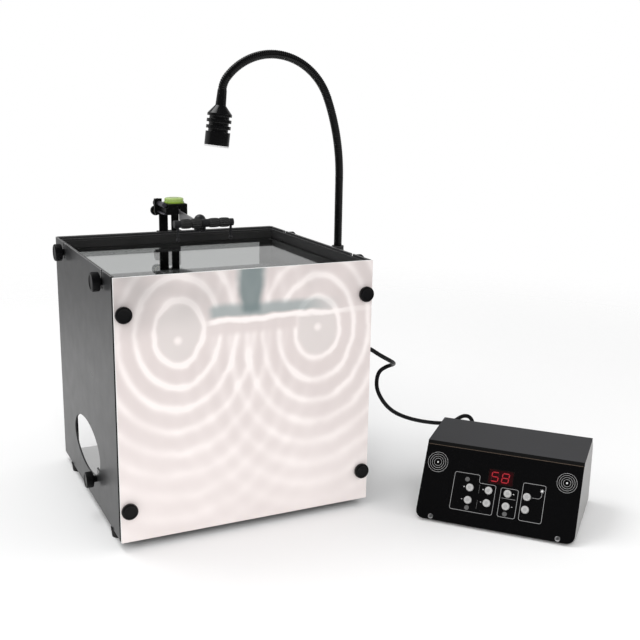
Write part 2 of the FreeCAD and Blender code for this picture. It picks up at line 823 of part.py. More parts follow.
def generator_head():
    """The head block: a groove for the upper knob's shank, ears for both knobs, and the arm's slot."""
    block = box((head_left, head_left + dim.head_width), (head_front, post_front),
                (head_bottom, head_top))
    ear_y = (post_front - dim.ear_thickness, post_front)
    upper = dim.upper_shank_radius + dim.running_gap
    lower = dim.lower_rod_radius + dim.running_gap
    upper_ear = box((upper_knob_x - upper - dim.ear_margin, upper_knob_x + upper + dim.seat_gap), ear_y,
                    (head_bottom, upper_knob_z + upper + dim.ear_margin))
    lower_ear = box((lower_knob_x - lower - dim.ear_margin, head_left + PAST), ear_y,
                    (lower_knob_z - lower - dim.ear_margin, head_top))
    groove = box((head_left - PAST, upper_knob_x + dim.upper_shank_radius + dim.seat_gap),
                 (head_front - PAST, ear_y[0]),
                 (upper_knob_z - dim.upper_shank_radius - dim.seat_gap, head_top + PAST))
    slot = box((arm_x[0] - dim.guide_gap, arm_x[1] + dim.guide_gap),
               (head_front - PAST, head_front + dim.arm_slot_depth),
               (head_bottom - PAST, head_bottom + dim.arm_slot_height))
    bore_length = dim.ear_thickness + 2 * PAST
    upper_bore = rod(upper, bore_length, upper_knob_x, ear_y[0] - PAST, upper_knob_z, "+y")
    lower_bore = rod(lower, bore_length, lower_knob_x, ear_y[0] - PAST, lower_knob_z, "+y")
    carved = cut(cut(block, [groove, slot]), [upper_bore])
    ears = cut(fuse([upper_ear, lower_ear]), [upper_bore, lower_bore])
    pin = rod(dim.arm_pin_radius, dim.arm_thickness + 2 * dim.arm_pin_grip, arm_x[0] - dim.arm_pin_grip,
              pin_y, pin_z, "+x")
    return keep(fuse([carved, ears, pin]), "generator_head")


def head_knobs():
    """The two knobs behind the head: one on a thick shank, one on a thin rod with a brass boss."""
    start = post_front - dim.upper_shank_length
    disc = post_back + dim.seat_gap - start
    edge = dim.knob_edge
    upper = turned("head_knob_upper", [
        (0, 0), (dim.upper_shank_radius, 0), (dim.upper_shank_radius, disc),
        (dim.upper_disc_radius, disc), (dim.upper_disc_radius, disc + dim.upper_disc_thickness - edge),
        (dim.upper_disc_radius - edge, disc + dim.upper_disc_thickness),
        (0, disc + dim.upper_disc_thickness)])
    keep(upper, "head_knob_upper", upper_knob_x, start, upper_knob_z, ALONG["+y"])
    start = post_front - dim.lower_rod_length
    boss = post_back + dim.seat_gap - start
    disc = boss + dim.upper_disc_thickness + dim.seat_gap
    lower = turned("head_knob_lower", [
        (0, 0), (dim.lower_rod_radius, 0), (dim.lower_rod_radius, boss),
        (dim.lower_boss_radius, boss), (dim.lower_boss_radius, disc),
        (dim.lower_disc_radius - edge, disc), (dim.lower_disc_radius, disc + edge),
        (dim.lower_disc_radius, disc + dim.lower_disc_thickness - edge),
        (dim.lower_disc_radius - edge, disc + dim.lower_disc_thickness),
        (0, disc + dim.lower_disc_thickness)])
    keep(lower, "head_knob_lower", lower_knob_x, start, lower_knob_z, ALONG["+y"])


def bubble_level():
    """A round level: a thin base ring and the domed vial."""
    base, height, edge = dim.level_base_height, dim.level_height, dim.level_edge
    vial = turned("bubble_level", [
        (0, 0), (dim.level_base_radius, 0), (dim.level_base_radius, base), (dim.level_radius, base),
        (dim.level_radius, height - edge), (dim.level_radius - 2 * edge, height), (0, height)])
    return keep(vial, "bubble_level", head_left + dim.level_across, post_front - dim.level_back, head_top)


def drive_arm():
    """The flat arm on edge: its tail turns on the head's pin, its front end meets the motor."""
    body = doc.addObject("PartDesign::Body", "drive_arm")
    sketch = new_sketch(body, "YZ_Plane")
    face = head_front - dim.guide_gap
    half = dim.arm_tail_half
    polygon(sketch, [
        (motor_flat, arm_top - dim.arm_fall), (face, arm_top), (face, pin_z + half),
        (pin_y + half, pin_z + half), (pin_y + half, pin_z - half), (face, pin_z - half),
        (face, arm_top - dim.arm_height), (motor_flat, arm_top - dim.arm_fall - dim.arm_height),
    ])
    pad(body, sketch, dim.arm_thickness)
    doc.recompute()
    drilled(body, "YZ_Plane", [(pin_y, pin_z)], dim.arm_pin_radius + dim.running_gap)
    return keep(body, "drive_arm", arm_x[0])


def vibrator():
    """The motor housing with a domed top and the bearing lug of the dipper bar, and its coil."""
    bottom, shoulder = head_bottom - dim.motor_down, head_bottom + dim.motor_up
    height = shoulder - bottom
    outside = rod(dim.motor_radius, height, motor_x, motor_y, bottom)
    dome = ball(dim.motor_radius, motor_x, motor_y, shoulder)
    lug = rod(dim.hub_radius, dim.hub_width, hub_x[0], bar_y, bar_z, "+x")
    web_half = dim.hub_radius - dim.hub_web_step
    web = box(hub_x, (bar_y, motor_y - dim.motor_radius / 2), (bar_z - web_half, bar_z + web_half))
    flat = box((motor_x - 2 * dim.motor_radius, motor_x + 2 * dim.motor_radius),
               (motor_flat, motor_flat + dim.motor_radius),
               (bottom - PAST, shoulder + 2 * dim.motor_radius))
    inner_radius = dim.motor_radius - dim.motor_wall
    inside = rod(inner_radius, height + PAST, motor_x, motor_y, bottom - PAST)
    bore = rod(dim.bar_core_radius + dim.running_gap, dim.hub_width + 2 * PAST, hub_x[0] - PAST,
               bar_y, bar_z, "+x")
    keep(cut(fuse([outside, dome, lug, web]), [flat, inside, bore]), "vibrator_case")
    coil = rod(inner_radius - dim.coil_gap, height, motor_x, motor_y, bottom)
    keep(group([coil]), "vibrator_coil")


def dipper_parts():
    """The bar with thicker ends, four knurled collars on it and two round-tipped dippers."""
    left_end = bar_x[0] + dim.bar_left_end
    right_end = bar_x[1] - dim.bar_right_end
    core = rod(dim.bar_core_radius, bar_x[1] - bar_x[0], bar_x[0], bar_y, bar_z, "+x")
    ends = [rod(dim.bar_end_radius, dim.bar_left_end, bar_x[0], bar_y, bar_z, "+x"),
            rod(dim.bar_end_radius, dim.bar_right_end, right_end, bar_y, bar_z, "+x")]
    tip_z = case_top + dim.leg_above + dim.leg_ball_radius
    sockets = []
    legs = []
    for x in (bar_x[0] + dim.leg_left_inset, bar_x[1] - dim.leg_right_inset):
        sockets.append(rod(dim.leg_radius + dim.running_gap, dim.bar_end_radius, x, bar_y,
                           bar_z - dim.bar_end_radius))
        legs.append(fuse([rod(dim.leg_radius, bar_z - tip_z, x, bar_y, tip_z),
                          ball(dim.leg_ball_radius, x, bar_y, tip_z)]))
    keep(cut(fuse([core] + ends), sockets), "dipper_bar")
    keep(group(legs), "dippers")
    collars = []
    for low, high in ((left_end, hub_x[0] - dim.collar_gap), (hub_x[1] + dim.collar_gap, right_end)):
        middle = (low + high) / 2
        for start, end in ((low, middle - dim.collar_gap / 2), (middle + dim.collar_gap / 2, high)):
            ring = rod(dim.collar_radius, end - start, start, bar_y, bar_z, "+x")
            bore = rod(dim.bar_core_radius + dim.running_gap, end - start + 2 * PAST, start - PAST,
                       bar_y, bar_z, "+x")
            collars.append(cut(ring, [bore]))
    keep(group(collars), "dipper_collars")


# ---------------------------------------------------------------- gooseneck lamp

def heading(angle):
    """The unit vector in the lamp's plane that leans left from straight up by an angle."""
    lean = math.radians(angle)
    return FreeCAD.Vector(-math.sin(lean), 0, math.cos(lean))


def bend(start, angle, radius, turn):
    """An arc that goes on from a point and a heading and turns left by turn degrees."""
    centre = start + heading(angle + 90) * radius
    half = centre - heading(angle + turn / 2 + 90) * radius
    end = centre - heading(angle + turn + 90) * radius
    return Part.Arc(start, half, end).toShape(), end


def pipe(edges, radius):
    """A round tube along edges that meet tangentially."""
    path = Part.Wire(edges)
    first = edges[0]
    start = first.valueAt(first.FirstParameter)
    section = Part.Wire(Part.Circle(start, first.tangentAt(first.FirstParameter), radius).toShape())
    return path.makePipeShell([section], True, False)


def shaped(label, shape):
    """A sub-part whose shape comes straight from Part's functions, in tank coordinates."""
    thing = doc.addObject("Part::Feature", label)
    thing.Shape = Part.Compound([shape])
    return keep(thing, label)


def neck_segment(label, edges, start, end):
    """One neck segment: a rounded lower end, and a cup that the next segment's end turns in."""
    radius = float(dim.neck_radius)
    tube = pipe(edges, radius)
    rounded = tube.fuse(Part.makeSphere(radius, start))
    cup = Part.makeSphere(radius + float(dim.neck_cup_gap), end)
    return shaped(label, rounded.cut(cup).removeSplitter())


def gooseneck():
    """The neck's bracket and three segments. Returns where the lamp's joint is and its heading."""
    neck_x, neck_z = dim.tank_width + dim.neck_out, case_top + dim.neck_up
    bracket_bottom = case_top - dim.bracket_low
    half = dim.bracket_width / 2
    block = box((dim.tank_width, dim.tank_width + dim.bracket_reach),
                (dim.neck_y - half, dim.neck_y + half), (bracket_bottom, case_top - dim.bracket_high))
    socket = rod(dim.neck_socket_radius, neck_z - dim.neck_socket_drop - bracket_bottom, neck_x,
                 dim.neck_y, bracket_bottom)
    cup = ball(dim.neck_radius + dim.neck_cup_gap, neck_x, dim.neck_y, neck_z)
    keep(cut(fuse([block, socket]), [cup]), "neck_bracket")
    root = FreeCAD.Vector(float(neck_x), float(dim.neck_y), float(neck_z))
    first = root + FreeCAD.Vector(0, 0, float(dim.neck_straight))
    neck_segment("neck_lower", [Part.LineSegment(root, first).toShape()], root, first)
    sweep_turn = float(dim.neck_sweep_turn)
    sweep, second = bend(first, 0, float(dim.neck_sweep_radius), sweep_turn)
    neck_segment("neck_middle", [sweep], first, second)
    rise_turn = float(dim.neck_rise_turn)
    rise, top = bend(second, sweep_turn, float(dim.neck_rise_radius), rise_turn)
    fall_turn = float(dim.neck_fall_turn)
    fall, third = bend(top, sweep_turn + rise_turn, float(dim.neck_fall_radius), fall_turn)
    neck_segment("neck_upper", [rise, fall], second, third)
    for name, spot in (("base", root), ("lower", first), ("upper", second), ("lamp", third)):
        print("neck joint %s: %.3f %.3f %.3f" % (name, spot.x, spot.y, spot.z))
    return third, sweep_turn + rise_turn + fall_turn


def revolved(outline):
    """A solid turned about the Z axis from (radius, height) corners."""
    corners = [FreeCAD.Vector(radius, 0, height) for radius, height in outline]
    face = Part.Face(Part.makePolygon(corners + [corners[0]]))
    return face.revolve(FreeCAD.Vector(), FreeCAD.Vector(0, 0, 1), 360)


def lamp(joint, angle):
    """The lamp: a curved stub, a ferrule and finned head on one axis, a bezel and a lens."""
    stub_turn = float(dim.lamp_stub_turn)
    stub, top = bend(joint, angle, float(dim.lamp_stub_radius), stub_turn)
    to_axis = FreeCAD.Rotation(FreeCAD.Vector(0, 0, 1), heading(angle + stub_turn))
    place = FreeCAD.Placement(top, to_axis)
    radius = float(dim.lamp_radius)
    start = float(dim.ferrule_length)
    seat = start + float(dim.lamp_length - dim.bezel_length)
    outline = [(0, 0), (float(dim.ferrule_top_radius), 0), (float(dim.ferrule_radius), start),
               (radius, start + float(dim.lamp_shoulder))]
    for groove in range(3):
        low = start + float(dim.lamp_groove_start + groove * dim.lamp_groove_pitch)
        high = low + float(dim.lamp_groove_width)
        inner = float(dim.lamp_groove_radius)
        outline += [(radius, low), (inner, low), (inner, high), (radius, high)]
    outline += [(radius, seat), (float(dim.bowl_radius), seat),
                (float(dim.bowl_floor_radius), seat - float(dim.bowl_depth)),
                (0, seat - float(dim.bowl_depth))]
    head = revolved(outline)
    head.Placement = place
    neck = pipe([stub], float(dim.neck_radius)).fuse(Part.makeSphere(float(dim.neck_radius), joint))
    shaped("lamp_head", head.fuse(neck).removeSplitter())
    lens_radius = float(dim.lens_radius)
    end = seat + float(dim.bezel_length)
    bezel = revolved([(lens_radius, seat), (radius, seat), (radius, end), (lens_radius, end)])
    bezel.Placement = place
    shaped("lamp_bezel", bezel)
    lens_end = seat + float(dim.lens_thickness)
    lens = revolved([(0, seat), (lens_radius, seat), (lens_radius, lens_end), (0, lens_end)])
    lens.Placement = place
    shaped("lamp_lens", lens)


# ---------------------------------------------------------------- control console

slope = math.degrees(math.atan2(float(dim.panel_rise), float(dim.panel_setback)))
slope_length = math.hypot(float(dim.panel_rise), float(dim.panel_setback))
console_height = dim.panel_rise + dim.top_climb
console_turn = FreeCAD.Rotation(FreeCAD.Vector(0, 0, 1), -float(dim.console_turn))
slope_turn = console_turn.multiply(FreeCAD.Rotation(FreeCAD.Vector(1, 0, 0), slope))
board_x = ((dim.console_width - dim.board_width) / 2, (dim.console_width + dim.board_width) / 2)
display_middle = dim.console_width / 2 + dim.display_shift
display_x = (display_middle - dim.display_width / 2, display_middle + dim.display_width / 2)


def on_console(thing, label, turn=console_turn):
    """Places a piece that is built in the console's own coordinates: u right, v back, w up."""
    return keep(thing, label, dim.tank_width + dim.console_gap, dim.console_y, dim.console_foot, turn)


def prism(outline, start, end):
    """A (v, w) outline extruded across the console from u = start to u = end."""
    corners = [FreeCAD.Vector(start, v, w) for v, w in outline]
    face = Part.Face(Part.makePolygon(corners + [corners[0]]))
    return face.extrude(FreeCAD.Vector(end - start, 0, 0))


def on_slope(along, deep):
    """A (v, w) point, along the slope from its foot and deep under its face."""
    up = math.radians(slope)
    return (along * math.cos(up) + deep * math.sin(up), along * math.sin(up) - deep * math.cos(up))


def console_corners():
    """The side outline's corners as (v, w): the cover's outside and the case under its two skins."""
    setback, rise = float(dim.panel_setback), float(dim.panel_rise)
    back_v, top_w = float(dim.console_depth - dim.back_bevel), float(console_height)
    skin, top, wall = float(dim.front_thickness), float(dim.top_thickness), float(dim.console_wall)
    up = math.radians(slope)
    climb = (top_w - rise) / (back_v - setback)
    face_v, face_w = on_slope(slope_length, skin)
    slack = face_w - (rise + climb * (face_v - setback) - top)
    fold = slope_length - slack / (math.sin(up) - climb * math.cos(up))
    lip = slope_length - float(dim.top_lip)
    return {
        "foot_in": on_slope(skin / math.tan(up), skin),
        "lip": on_slope(lip, 0),
        "lip_in": on_slope(lip, skin),
        "bend": (setback, rise),
        "bend_in": on_slope(fold, skin),
        "back": (back_v, top_w),
        "back_in": (back_v, top_w - top),
        "strip_in": (back_v - wall, top_w - top - wall * climb),
        "shoulder": (float(dim.console_depth), top_w - float(dim.back_drop)),
        "heel": (float(dim.console_depth), 0),
    }


def corner_block(start, end):
    """A solid wedge in one lower front corner of the case, for the rounding to be cut from."""
    reach = float(dim.front_corner_radius + dim.console_wall)
    skin = float(dim.front_thickness)
    up = math.radians(slope)
    foot = skin / math.tan(up)
    floor_depth = skin + (reach - foot) * math.tan(up)
    return prism([on_slope(foot, skin), on_slope(reach, skin), on_slope(reach, floor_depth)], start, end)


def corner_cut(near, outward):
    """What rounds one lower front corner, square to the slope: a block less a cylinder."""
    radius, depth = float(dim.front_corner_radius), float(dim.console_depth)
    low = near - PAST if outward < 0 else near - radius
    block = Part.makeBox(radius + PAST, radius + PAST, depth, FreeCAD.Vector(low, -PAST, -depth))
    middle = FreeCAD.Vector(near - outward * radius, radius, -depth)
    tool = block.cut(Part.makeCylinder(radius, depth, middle))
    tool.Placement = FreeCAD.Placement(FreeCAD.Vector(), FreeCAD.Rotation(FreeCAD.Vector(1, 0, 0), slope))
    return tool


def console_shell():
    """The light case (floor, back, sloped strip and two cheeks) and the dark top that lies on it."""
    width, wall = float(dim.console_width), float(dim.console_wall)
    at = console_corners()
    depth, shoulder = at["shoulder"]
    corner = float(dim.front_corner_radius + dim.console_wall)
    cheek = [at[name] for name in ("foot_in", "bend_in", "back_in", "shoulder", "heel")]
    strip = [at["back_in"], at["shoulder"], (depth - wall, shoulder), at["strip_in"]]
    floor = [at["foot_in"], (at["foot_in"][0] + wall / math.tan(math.radians(slope)), wall),
             (depth, wall), at["heel"]]
    back = [(depth - wall, 0), (depth - wall, shoulder), at["shoulder"], at["heel"]]
    shell = prism(cheek, 0, wall)
    for outline, start, end in ((cheek, width - wall, width), (strip, 0, width),
                                (floor, 0, width), (back, 0, width)):
        shell = shell.fuse(prism(outline, start, end))
    shell = shell.fuse(corner_block(0, corner)).fuse(corner_block(width - corner, width))
    shell = shell.cut(corner_cut(0, -1)).cut(corner_cut(width, 1))
    case = doc.addObject("Part::Feature", "console_case")
    case.Shape = shell.removeSplitter()
    on_console(case, "console_case")
    cover = doc.addObject("Part::Feature", "console_top")
    cover.Shape = prism([at[name] for name in ("lip", "bend", "back", "back_in", "bend_in", "lip_in")],
                        0, width)
    on_console(cover, "console_top")


def front_panel():
    """The sloped glossy panel, with holes for buttons, display, lamps, and posts for the board."""
    body = doc.addObject("PartDesign::Body", "panel_plate")
    sketch = new_sketch(body, "XY_Plane", -dim.front_thickness)
    top = slope_length - dim.top_lip
    polygon(sketch, [(0, 0), (dim.console_width, 0), (dim.console_width, top), (0, top)])
    plate = pad(body, sketch, dim.front_thickness)
    doc.recompute()
    lower_corners = []
    for number, edge in enumerate(plate.Shape.Edges, 1):
        reach = edge.BoundBox
        if reach.ZLength > float(dim.front_thickness) / 2 and reach.YMax < float(dim.top_lip):
            lower_corners.append("Edge%d" % number)
    rounding = body.newObject("PartDesign::Fillet", "Corners")
    rounding.Base = (plate, lower_corners)
    bind(rounding, "Radius", dim.front_corner_radius)
    through = dim.front_thickness + 2 * PAST
    under = -dim.front_thickness - PAST
    tools = [box((display_x[0] - dim.fit_gap, display_x[1] + dim.fit_gap),
                 (dim.display_low - dim.fit_gap, dim.display_high + dim.fit_gap), (under, PAST))]
    for x, y in button_spots():
        tools.append(rod(dim.button_radius + dim.fit_gap, through, x, y, under))
    for x, y in led_spots():
        tools.append(rod(dim.led_radius + dim.running_gap, through, x, y, under))
    posts = []
    inset = 2 * dim.board_post_radius
    for x in (board_x[0] + inset, board_x[1] - inset):
        for y in (dim.board_low + inset, dim.board_high - inset):
            posts.append(rod(dim.board_post_radius, dim.board_behind - dim.front_thickness, x, y,
                             -dim.board_behind))
    on_console(fuse([cut(body, tools)] + posts), "front_panel", slope_turn)


def button_columns():
    """The u of the four button columns, which stand in the middle of the panel."""
    left = (dim.console_width - 3 * dim.button_pitch) / 2
    return [left + column * dim.button_pitch for column in range(4)]


def button_spots():
    return [(x, y) for y in (dim.button_row_high, dim.button_row_low) for x in button_columns()]


def led_spots():
    """Indicator lamps: three beside the buttons and one above the last group."""
    columns = button_columns()
    low = dim.button_row_low - dim.led_below
    high = dim.button_row_high + dim.led_above
    return [(columns[0] - dim.led_beside, high), (columns[0], low), (columns[2], low),
            (columns[3] + dim.led_last, high)]


def console_controls():
    """Board, display, indicator lamps and eight buttons, all built on the slope's own axes."""
    board_top = -dim.board_behind
    board = box(board_x, (dim.board_low, dim.board_high), (board_top - dim.board_thickness, board_top))
    on_console(group([board]), "circuit_board", slope_turn)
    digits = box(display_x, (dim.display_low, dim.display_high), (board_top, -dim.display_recess))
    on_console(group([digits]), "display", slope_turn)
    lamps = [rod(dim.led_radius, dim.board_behind, x, y, board_top) for x, y in led_spots()]
    on_console(group(lamps), "indicator_leds", slope_turn)
    flange_top = -dim.front_thickness - dim.seat_gap
    flange_radius = dim.button_radius + dim.button_flange_lip
    for number, (x, y) in enumerate(button_spots(), 1):
        cap = turned("button_cap_%d" % number, [
            (0, flange_top - dim.button_flange), (flange_radius, flange_top - dim.button_flange),
            (flange_radius, flange_top), (dim.button_radius, flange_top),
            (dim.button_radius, dim.button_out - dim.button_edge),
            (dim.button_radius - dim.button_edge, dim.button_out), (0, dim.button_out)])
        bind_place(cap, x, y, 0)
        on_console(group([cap]), "button_%d" % number, slope_turn)


def console_fixings():
    """Rubber feet under the console, and every screw head: the case's and the front panel's."""
    feet = []
    inset = dim.console_foot_inset
    for u in (inset, dim.console_width - inset):
        for v in (inset, dim.console_depth - inset):
            feet.append(rod(dim.console_foot_radius, dim.console_foot, u, v, -dim.console_foot))
    on_console(group(feet), "console_feet")
    heads = []
    for u in (dim.front_screw_inset, dim.console_width - dim.front_screw_inset):
        heads.append(screw_head(u, dim.front_screw_low, 0, "+z"))
    front = group(heads)
    front.Placement = FreeCAD.Placement(FreeCAD.Vector(), slope_turn)
    bind_place(front, dim.tank_width + dim.console_gap, dim.console_y, dim.console_foot)
    keep(group(rear_screws() + [front]), "case_screws")


# ---------------------------------------------------------------- cord between tank and console

def console_point(u, v, w):
    """A point given in the console's coordinates, in tank coordinates."""
    foot = FreeCAD.Vector(float(dim.tank_width + dim.console_gap), float(dim.console_y),
                          float(dim.console_foot))
    return foot + console_turn.multVec(FreeCAD.Vector(u, v, w))


def rounded_route(points):
    """Straight runs joined by the largest arcs that their lengths allow, and the arcs' radii."""
    edges = []
    radii = []
    start = points[0]
    for before, corner, after in zip(points, points[1:], points[2:]):
        back, ahead = (before - corner), (after - corner)
        turn = math.pi - back.getAngle(ahead)
        trim = 0.45 * min(back.Length, ahead.Length)
        radii.append(trim / math.tan(turn / 2))
        back.normalize()
        ahead.normalize()
        first, last = corner + back * trim, corner + ahead * trim
        inward = (back + ahead).normalize()
        centre_gap = radii[-1] / math.cos(turn / 2)
        middle = corner + inward * (centre_gap - radii[-1])
        edges.append(Part.LineSegment(start, first).toShape())
        edges.append(Part.Arc(first, middle, last).toShape())
        start = last
    edges.append(Part.LineSegment(start, points[-1]).toShape())
    return edges, radii


def cord():
    """The flexible cord from the gland on the right panel to the plug behind the console."""
    gland_end = FreeCAD.Vector(float(dim.tank_width + dim.gland_length), float(dim.gland_y),
                               float(dim.gland_z))
    plug_end = console_point(float(dim.plug_across), float(dim.console_depth + dim.plug_length),
                             float(dim.plug_height))
    right_side = FreeCAD.Vector(float(dim.tank_width), 0, 0)
    route = [gland_end] + [right_side + FreeCAD.Vector(*point) for point in CORD_ROUTE] + [plug_end]
    edges, radii = rounded_route(route)
    radius = float(dim.cord_radius)
    tube = pipe(edges, radius)
    length = sum(edge.Length for edge in edges)
    print("cord length %.1f, volume %.0f against %.0f" % (
        length, tube.Volume, math.pi * radius * radius * length))
    print("cord runs " + " ".join("%.0f" % (b - a).Length for a, b in zip(route, route[1:])))
    print("cord radii " + " ".join("%.0f" % r for r in radii))
    shaped("link_cord", tube)


def cord_ends():
    """The tapered gland on the right panel and the tapered plug on the console's back."""
    sleeve_radius = dim.cord_radius + dim.cord_sleeve
    gland = turned("cord_gland", [
        (0, 0), (dim.gland_radius, 0), (dim.gland_radius, dim.gland_flange),
        (dim.gland_radius - dim.gland_step, dim.gland_flange), (sleeve_radius, dim.gland_length),
        (0, dim.gland_length)])
    keep(gland, "cord_gland", dim.tank_width, dim.gland_y, dim.gland_z, ALONG["+x"])
    plug = turned("plug_body", [
        (0, 0), (dim.plug_radius, 0), (dim.plug_radius, dim.plug_length - dim.plug_taper),
        (sleeve_radius, dim.plug_length), (0, dim.plug_length)])
    plug.Placement = FreeCAD.Placement(FreeCAD.Vector(), ALONG["+y"])
    bind_place(plug, dim.plug_across, dim.console_depth, dim.plug_height)
    on_console(group([plug]), "cord_plug")


# The route's points between the gland and the plug: x from the tank's right side, then y and z.
CORD_ROUTE = [
    (28.5, 55, 181.5), (40.5, 50, 172.5), (54, 46.5, 164.5), (66.5, 56, 157), (73.5, 70.5, 150.5),
    (71, 81.5, 145.5), (61.5, 84.5, 139.5), (56.5, 82, 129.5), (55.5, 79, 118), (59.5, 75.5, 106.5),
    (67, 72, 95), (78.5, 69.5, 85), (96.5, 68.5, 76), (116.5, 68, 69), (137, 68.5, 63.5),
    (149.5, 61, 63.5), (161, 55.5, 66.5), (172, 51.5, 76), (180.5, 45.5, 75), (182.5, 40, 63),
    (175.5, 35, 52.5),
]


# ---------------------------------------------------------------- build, check and write

side_panel("side_panel_left", True)
side_panel("side_panel_right", False)
base_panel()
rear_panel()
rear_rail()
screen()
mirror_pieces()
tank_feet()
tray_pieces()
tank_knobs()
post_guide()
post()
generator_head()
head_knobs()
bubble_level()
drive_arm()
vibrator()
dipper_parts()
lamp_joint, lamp_heading = gooseneck()
lamp(lamp_joint, lamp_heading)
console_shell()
front_panel()
console_controls()
console_fixings()
cord_ends()
cord()
doc.recompute()

for thing in doc.Objects:
    if "Invalid" in thing.State or "Error" in thing.State:
        raise RuntimeError("%s (%s) did not build: %s" % (thing.Name, thing.Label, thing.State))
os.makedirs("parts", exist_ok=True)
for piece in pieces:
    shape = piece.Shape
    if shape.isNull() or not shape.isValid() or not shape.Solids:
        raise RuntimeError("%s has no valid solid" % piece.Label)
    shape.exportStep(os.path.join("parts", piece.Label + ".step"))
print("%d sub-parts, %d solids" % (len(pieces), sum(len(p.Shape.Solids) for p in pieces)))
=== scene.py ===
import math
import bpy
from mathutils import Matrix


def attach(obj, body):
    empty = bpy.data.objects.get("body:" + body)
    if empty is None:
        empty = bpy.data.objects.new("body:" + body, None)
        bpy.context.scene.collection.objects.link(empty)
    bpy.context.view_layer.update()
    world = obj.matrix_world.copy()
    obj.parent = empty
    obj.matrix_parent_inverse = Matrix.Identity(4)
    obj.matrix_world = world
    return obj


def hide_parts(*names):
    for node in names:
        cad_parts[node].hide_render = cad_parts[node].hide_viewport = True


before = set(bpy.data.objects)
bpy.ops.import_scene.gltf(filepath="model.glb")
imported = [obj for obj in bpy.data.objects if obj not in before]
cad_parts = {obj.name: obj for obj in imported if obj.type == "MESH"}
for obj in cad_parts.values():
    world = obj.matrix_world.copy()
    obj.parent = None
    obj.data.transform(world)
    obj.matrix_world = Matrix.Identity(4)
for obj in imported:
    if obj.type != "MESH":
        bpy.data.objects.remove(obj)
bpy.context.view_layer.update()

from types import SimpleNamespace

import bpy
import numpy as np
from bpy.props import FloatProperty, FloatVectorProperty, IntProperty, PointerProperty
from mathutils import Matrix, Vector

bl_info = {
    "name": "Ripple Tank",
    "version": (1, 0, 0),
    "blender": (4, 5, 0),
    "location": "3D View > Sidebar > Ripple Tank",
    "description": "Finishes a classroom ripple tank around its packed parts",
    "category": "Object",
}

MM = 0.001
# The tank's own corner, where x, y and z are measured from in millimetres: left side, front, table.
TANK_CORNER = np.array([-0.272906, -0.0607173, 0.0])
CASE_TOP = 302.0
TANK_WIDTH = 300.0


def tank(x, y, z):
    """A point in the tank's millimetres, as metres in the row frame."""
    return np.array([x, y, z]) * MM + TANK_CORNER


# ---- settings that a user may change

def length(name, description, default):
    return FloatProperty(name=name, description=description, default=default, min=0.0,
                         unit="LENGTH", precision=5)


def colour(name, description, default):
    return FloatVectorProperty(name=name, description=description, default=default, size=3,
                               min=0.0, max=1.0, subtype="COLOR")


def count(name, description, default):
    return IntProperty(name=name, description=description, default=default, min=3)


class CaseSettings(bpy.types.PropertyGroup):
    paint: colour("Paint", "Powder coat of the case", (0.034, 0.0345, 0.0355))
    inside: colour("Inside paint", "Paint of the mirror's bed", (0.62, 0.62, 0.62))
    tray: colour("Tray paint", "Paint of the tray and the rail", (0.027, 0.027, 0.0275))
    # The light line along folded edges is partly wear and partly painted highlight.
    wear_and_highlight: length("Edge wear and highlight", "Width of the light line along folded edges", 0.0009)


class ScreenSettings(bpy.types.PropertyGroup):
    crest: colour("Crest", "Bright rings of the wave picture", (0.97, 0.90, 0.88))
    trough: colour("Trough", "Ground colour between the rings", (0.70, 0.622, 0.607))
    shade: colour("Shade", "Shadow of the arm and the bar", (0.27, 0.34, 0.345))
    first_ring: length("First ring", "Height of the innermost ring above its source", 0.0355)
    ring_step: length("Ring step", "Distance from one ring to the next", 0.0252)


class KnobSettings(bpy.types.PropertyGroup):
    plastic: colour("Plastic", "Moulded plastic of the knobs", (0.003, 0.003, 0.0034))
    flutes: count("Flutes", "Number of grooves round a knob", 44)
    flute_depth: length("Flute depth", "Depth of the grooves round a knob", 0.00022)


class NeckSettings(bpy.types.PropertyGroup):
    metal: colour("Metal", "Black finish of the gooseneck and the lamp", (0.0022, 0.0022, 0.0025))
    radius: length("Radius", "Outer radius of the gooseneck", 0.005)
    rib_step: length("Rib step", "Length of one turn of the gooseneck's rib", 0.0024)
    rib_depth: length("Rib depth", "Depth of the groove between two ribs", 0.0005)


class DipperSettings(bpy.types.PropertyGroup):
    rubber: colour("Rubber", "Black rubber of the collars", (0.014, 0.0135, 0.015))
    flutes: count("Flutes", "Number of grooves round a collar", 12)
    flute_depth: length("Flute depth", "Depth of the grooves round a collar", 0.0011)


class ConsoleSettings(bpy.types.PropertyGroup):
    case: colour("Case", "Light paint of the case", (0.36, 0.355, 0.35))
    cover: colour("Cover", "Matte top cover", (0.052, 0.052, 0.055))
    panel: colour("Panel", "Glossy front panel", (0.0022, 0.0022, 0.0025))
    line_width: length("Line width", "Width of the printed lines", 0.00055)


class CordSettings(bpy.types.PropertyGroup):
    sheath: colour("Sheath", "Flexible sheath of the cord", (0.008, 0.008, 0.009))
    diameter: length("Diameter", "Diameter of the cord", 0.0052)


class StageSettings(bpy.types.PropertyGroup):
    floor: colour("Floor", "Colour of the floor", (0.95, 0.95, 0.95))
    floor_radius: length("Floor radius", "Where the floor ends", 2.2)


def settings(context, name):
    """The scene's settings of one kind of piece."""
    return getattr(context.scene, "ripple_tank_" + name)


# ---- surfaces

def whole_turn(around):
    """Equal steps of angle that fill one turn."""
    return np.linspace(0.0, 2.0 * np.pi, around, endpoint=False)


def turned(radius, height, angle):
    """Points at a radius and a height, at each angle about the z axis."""
    flat = 0.0 * radius * angle
    return np.stack([radius * np.cos(angle), radius * np.sin(angle), height + flat], axis=-1)


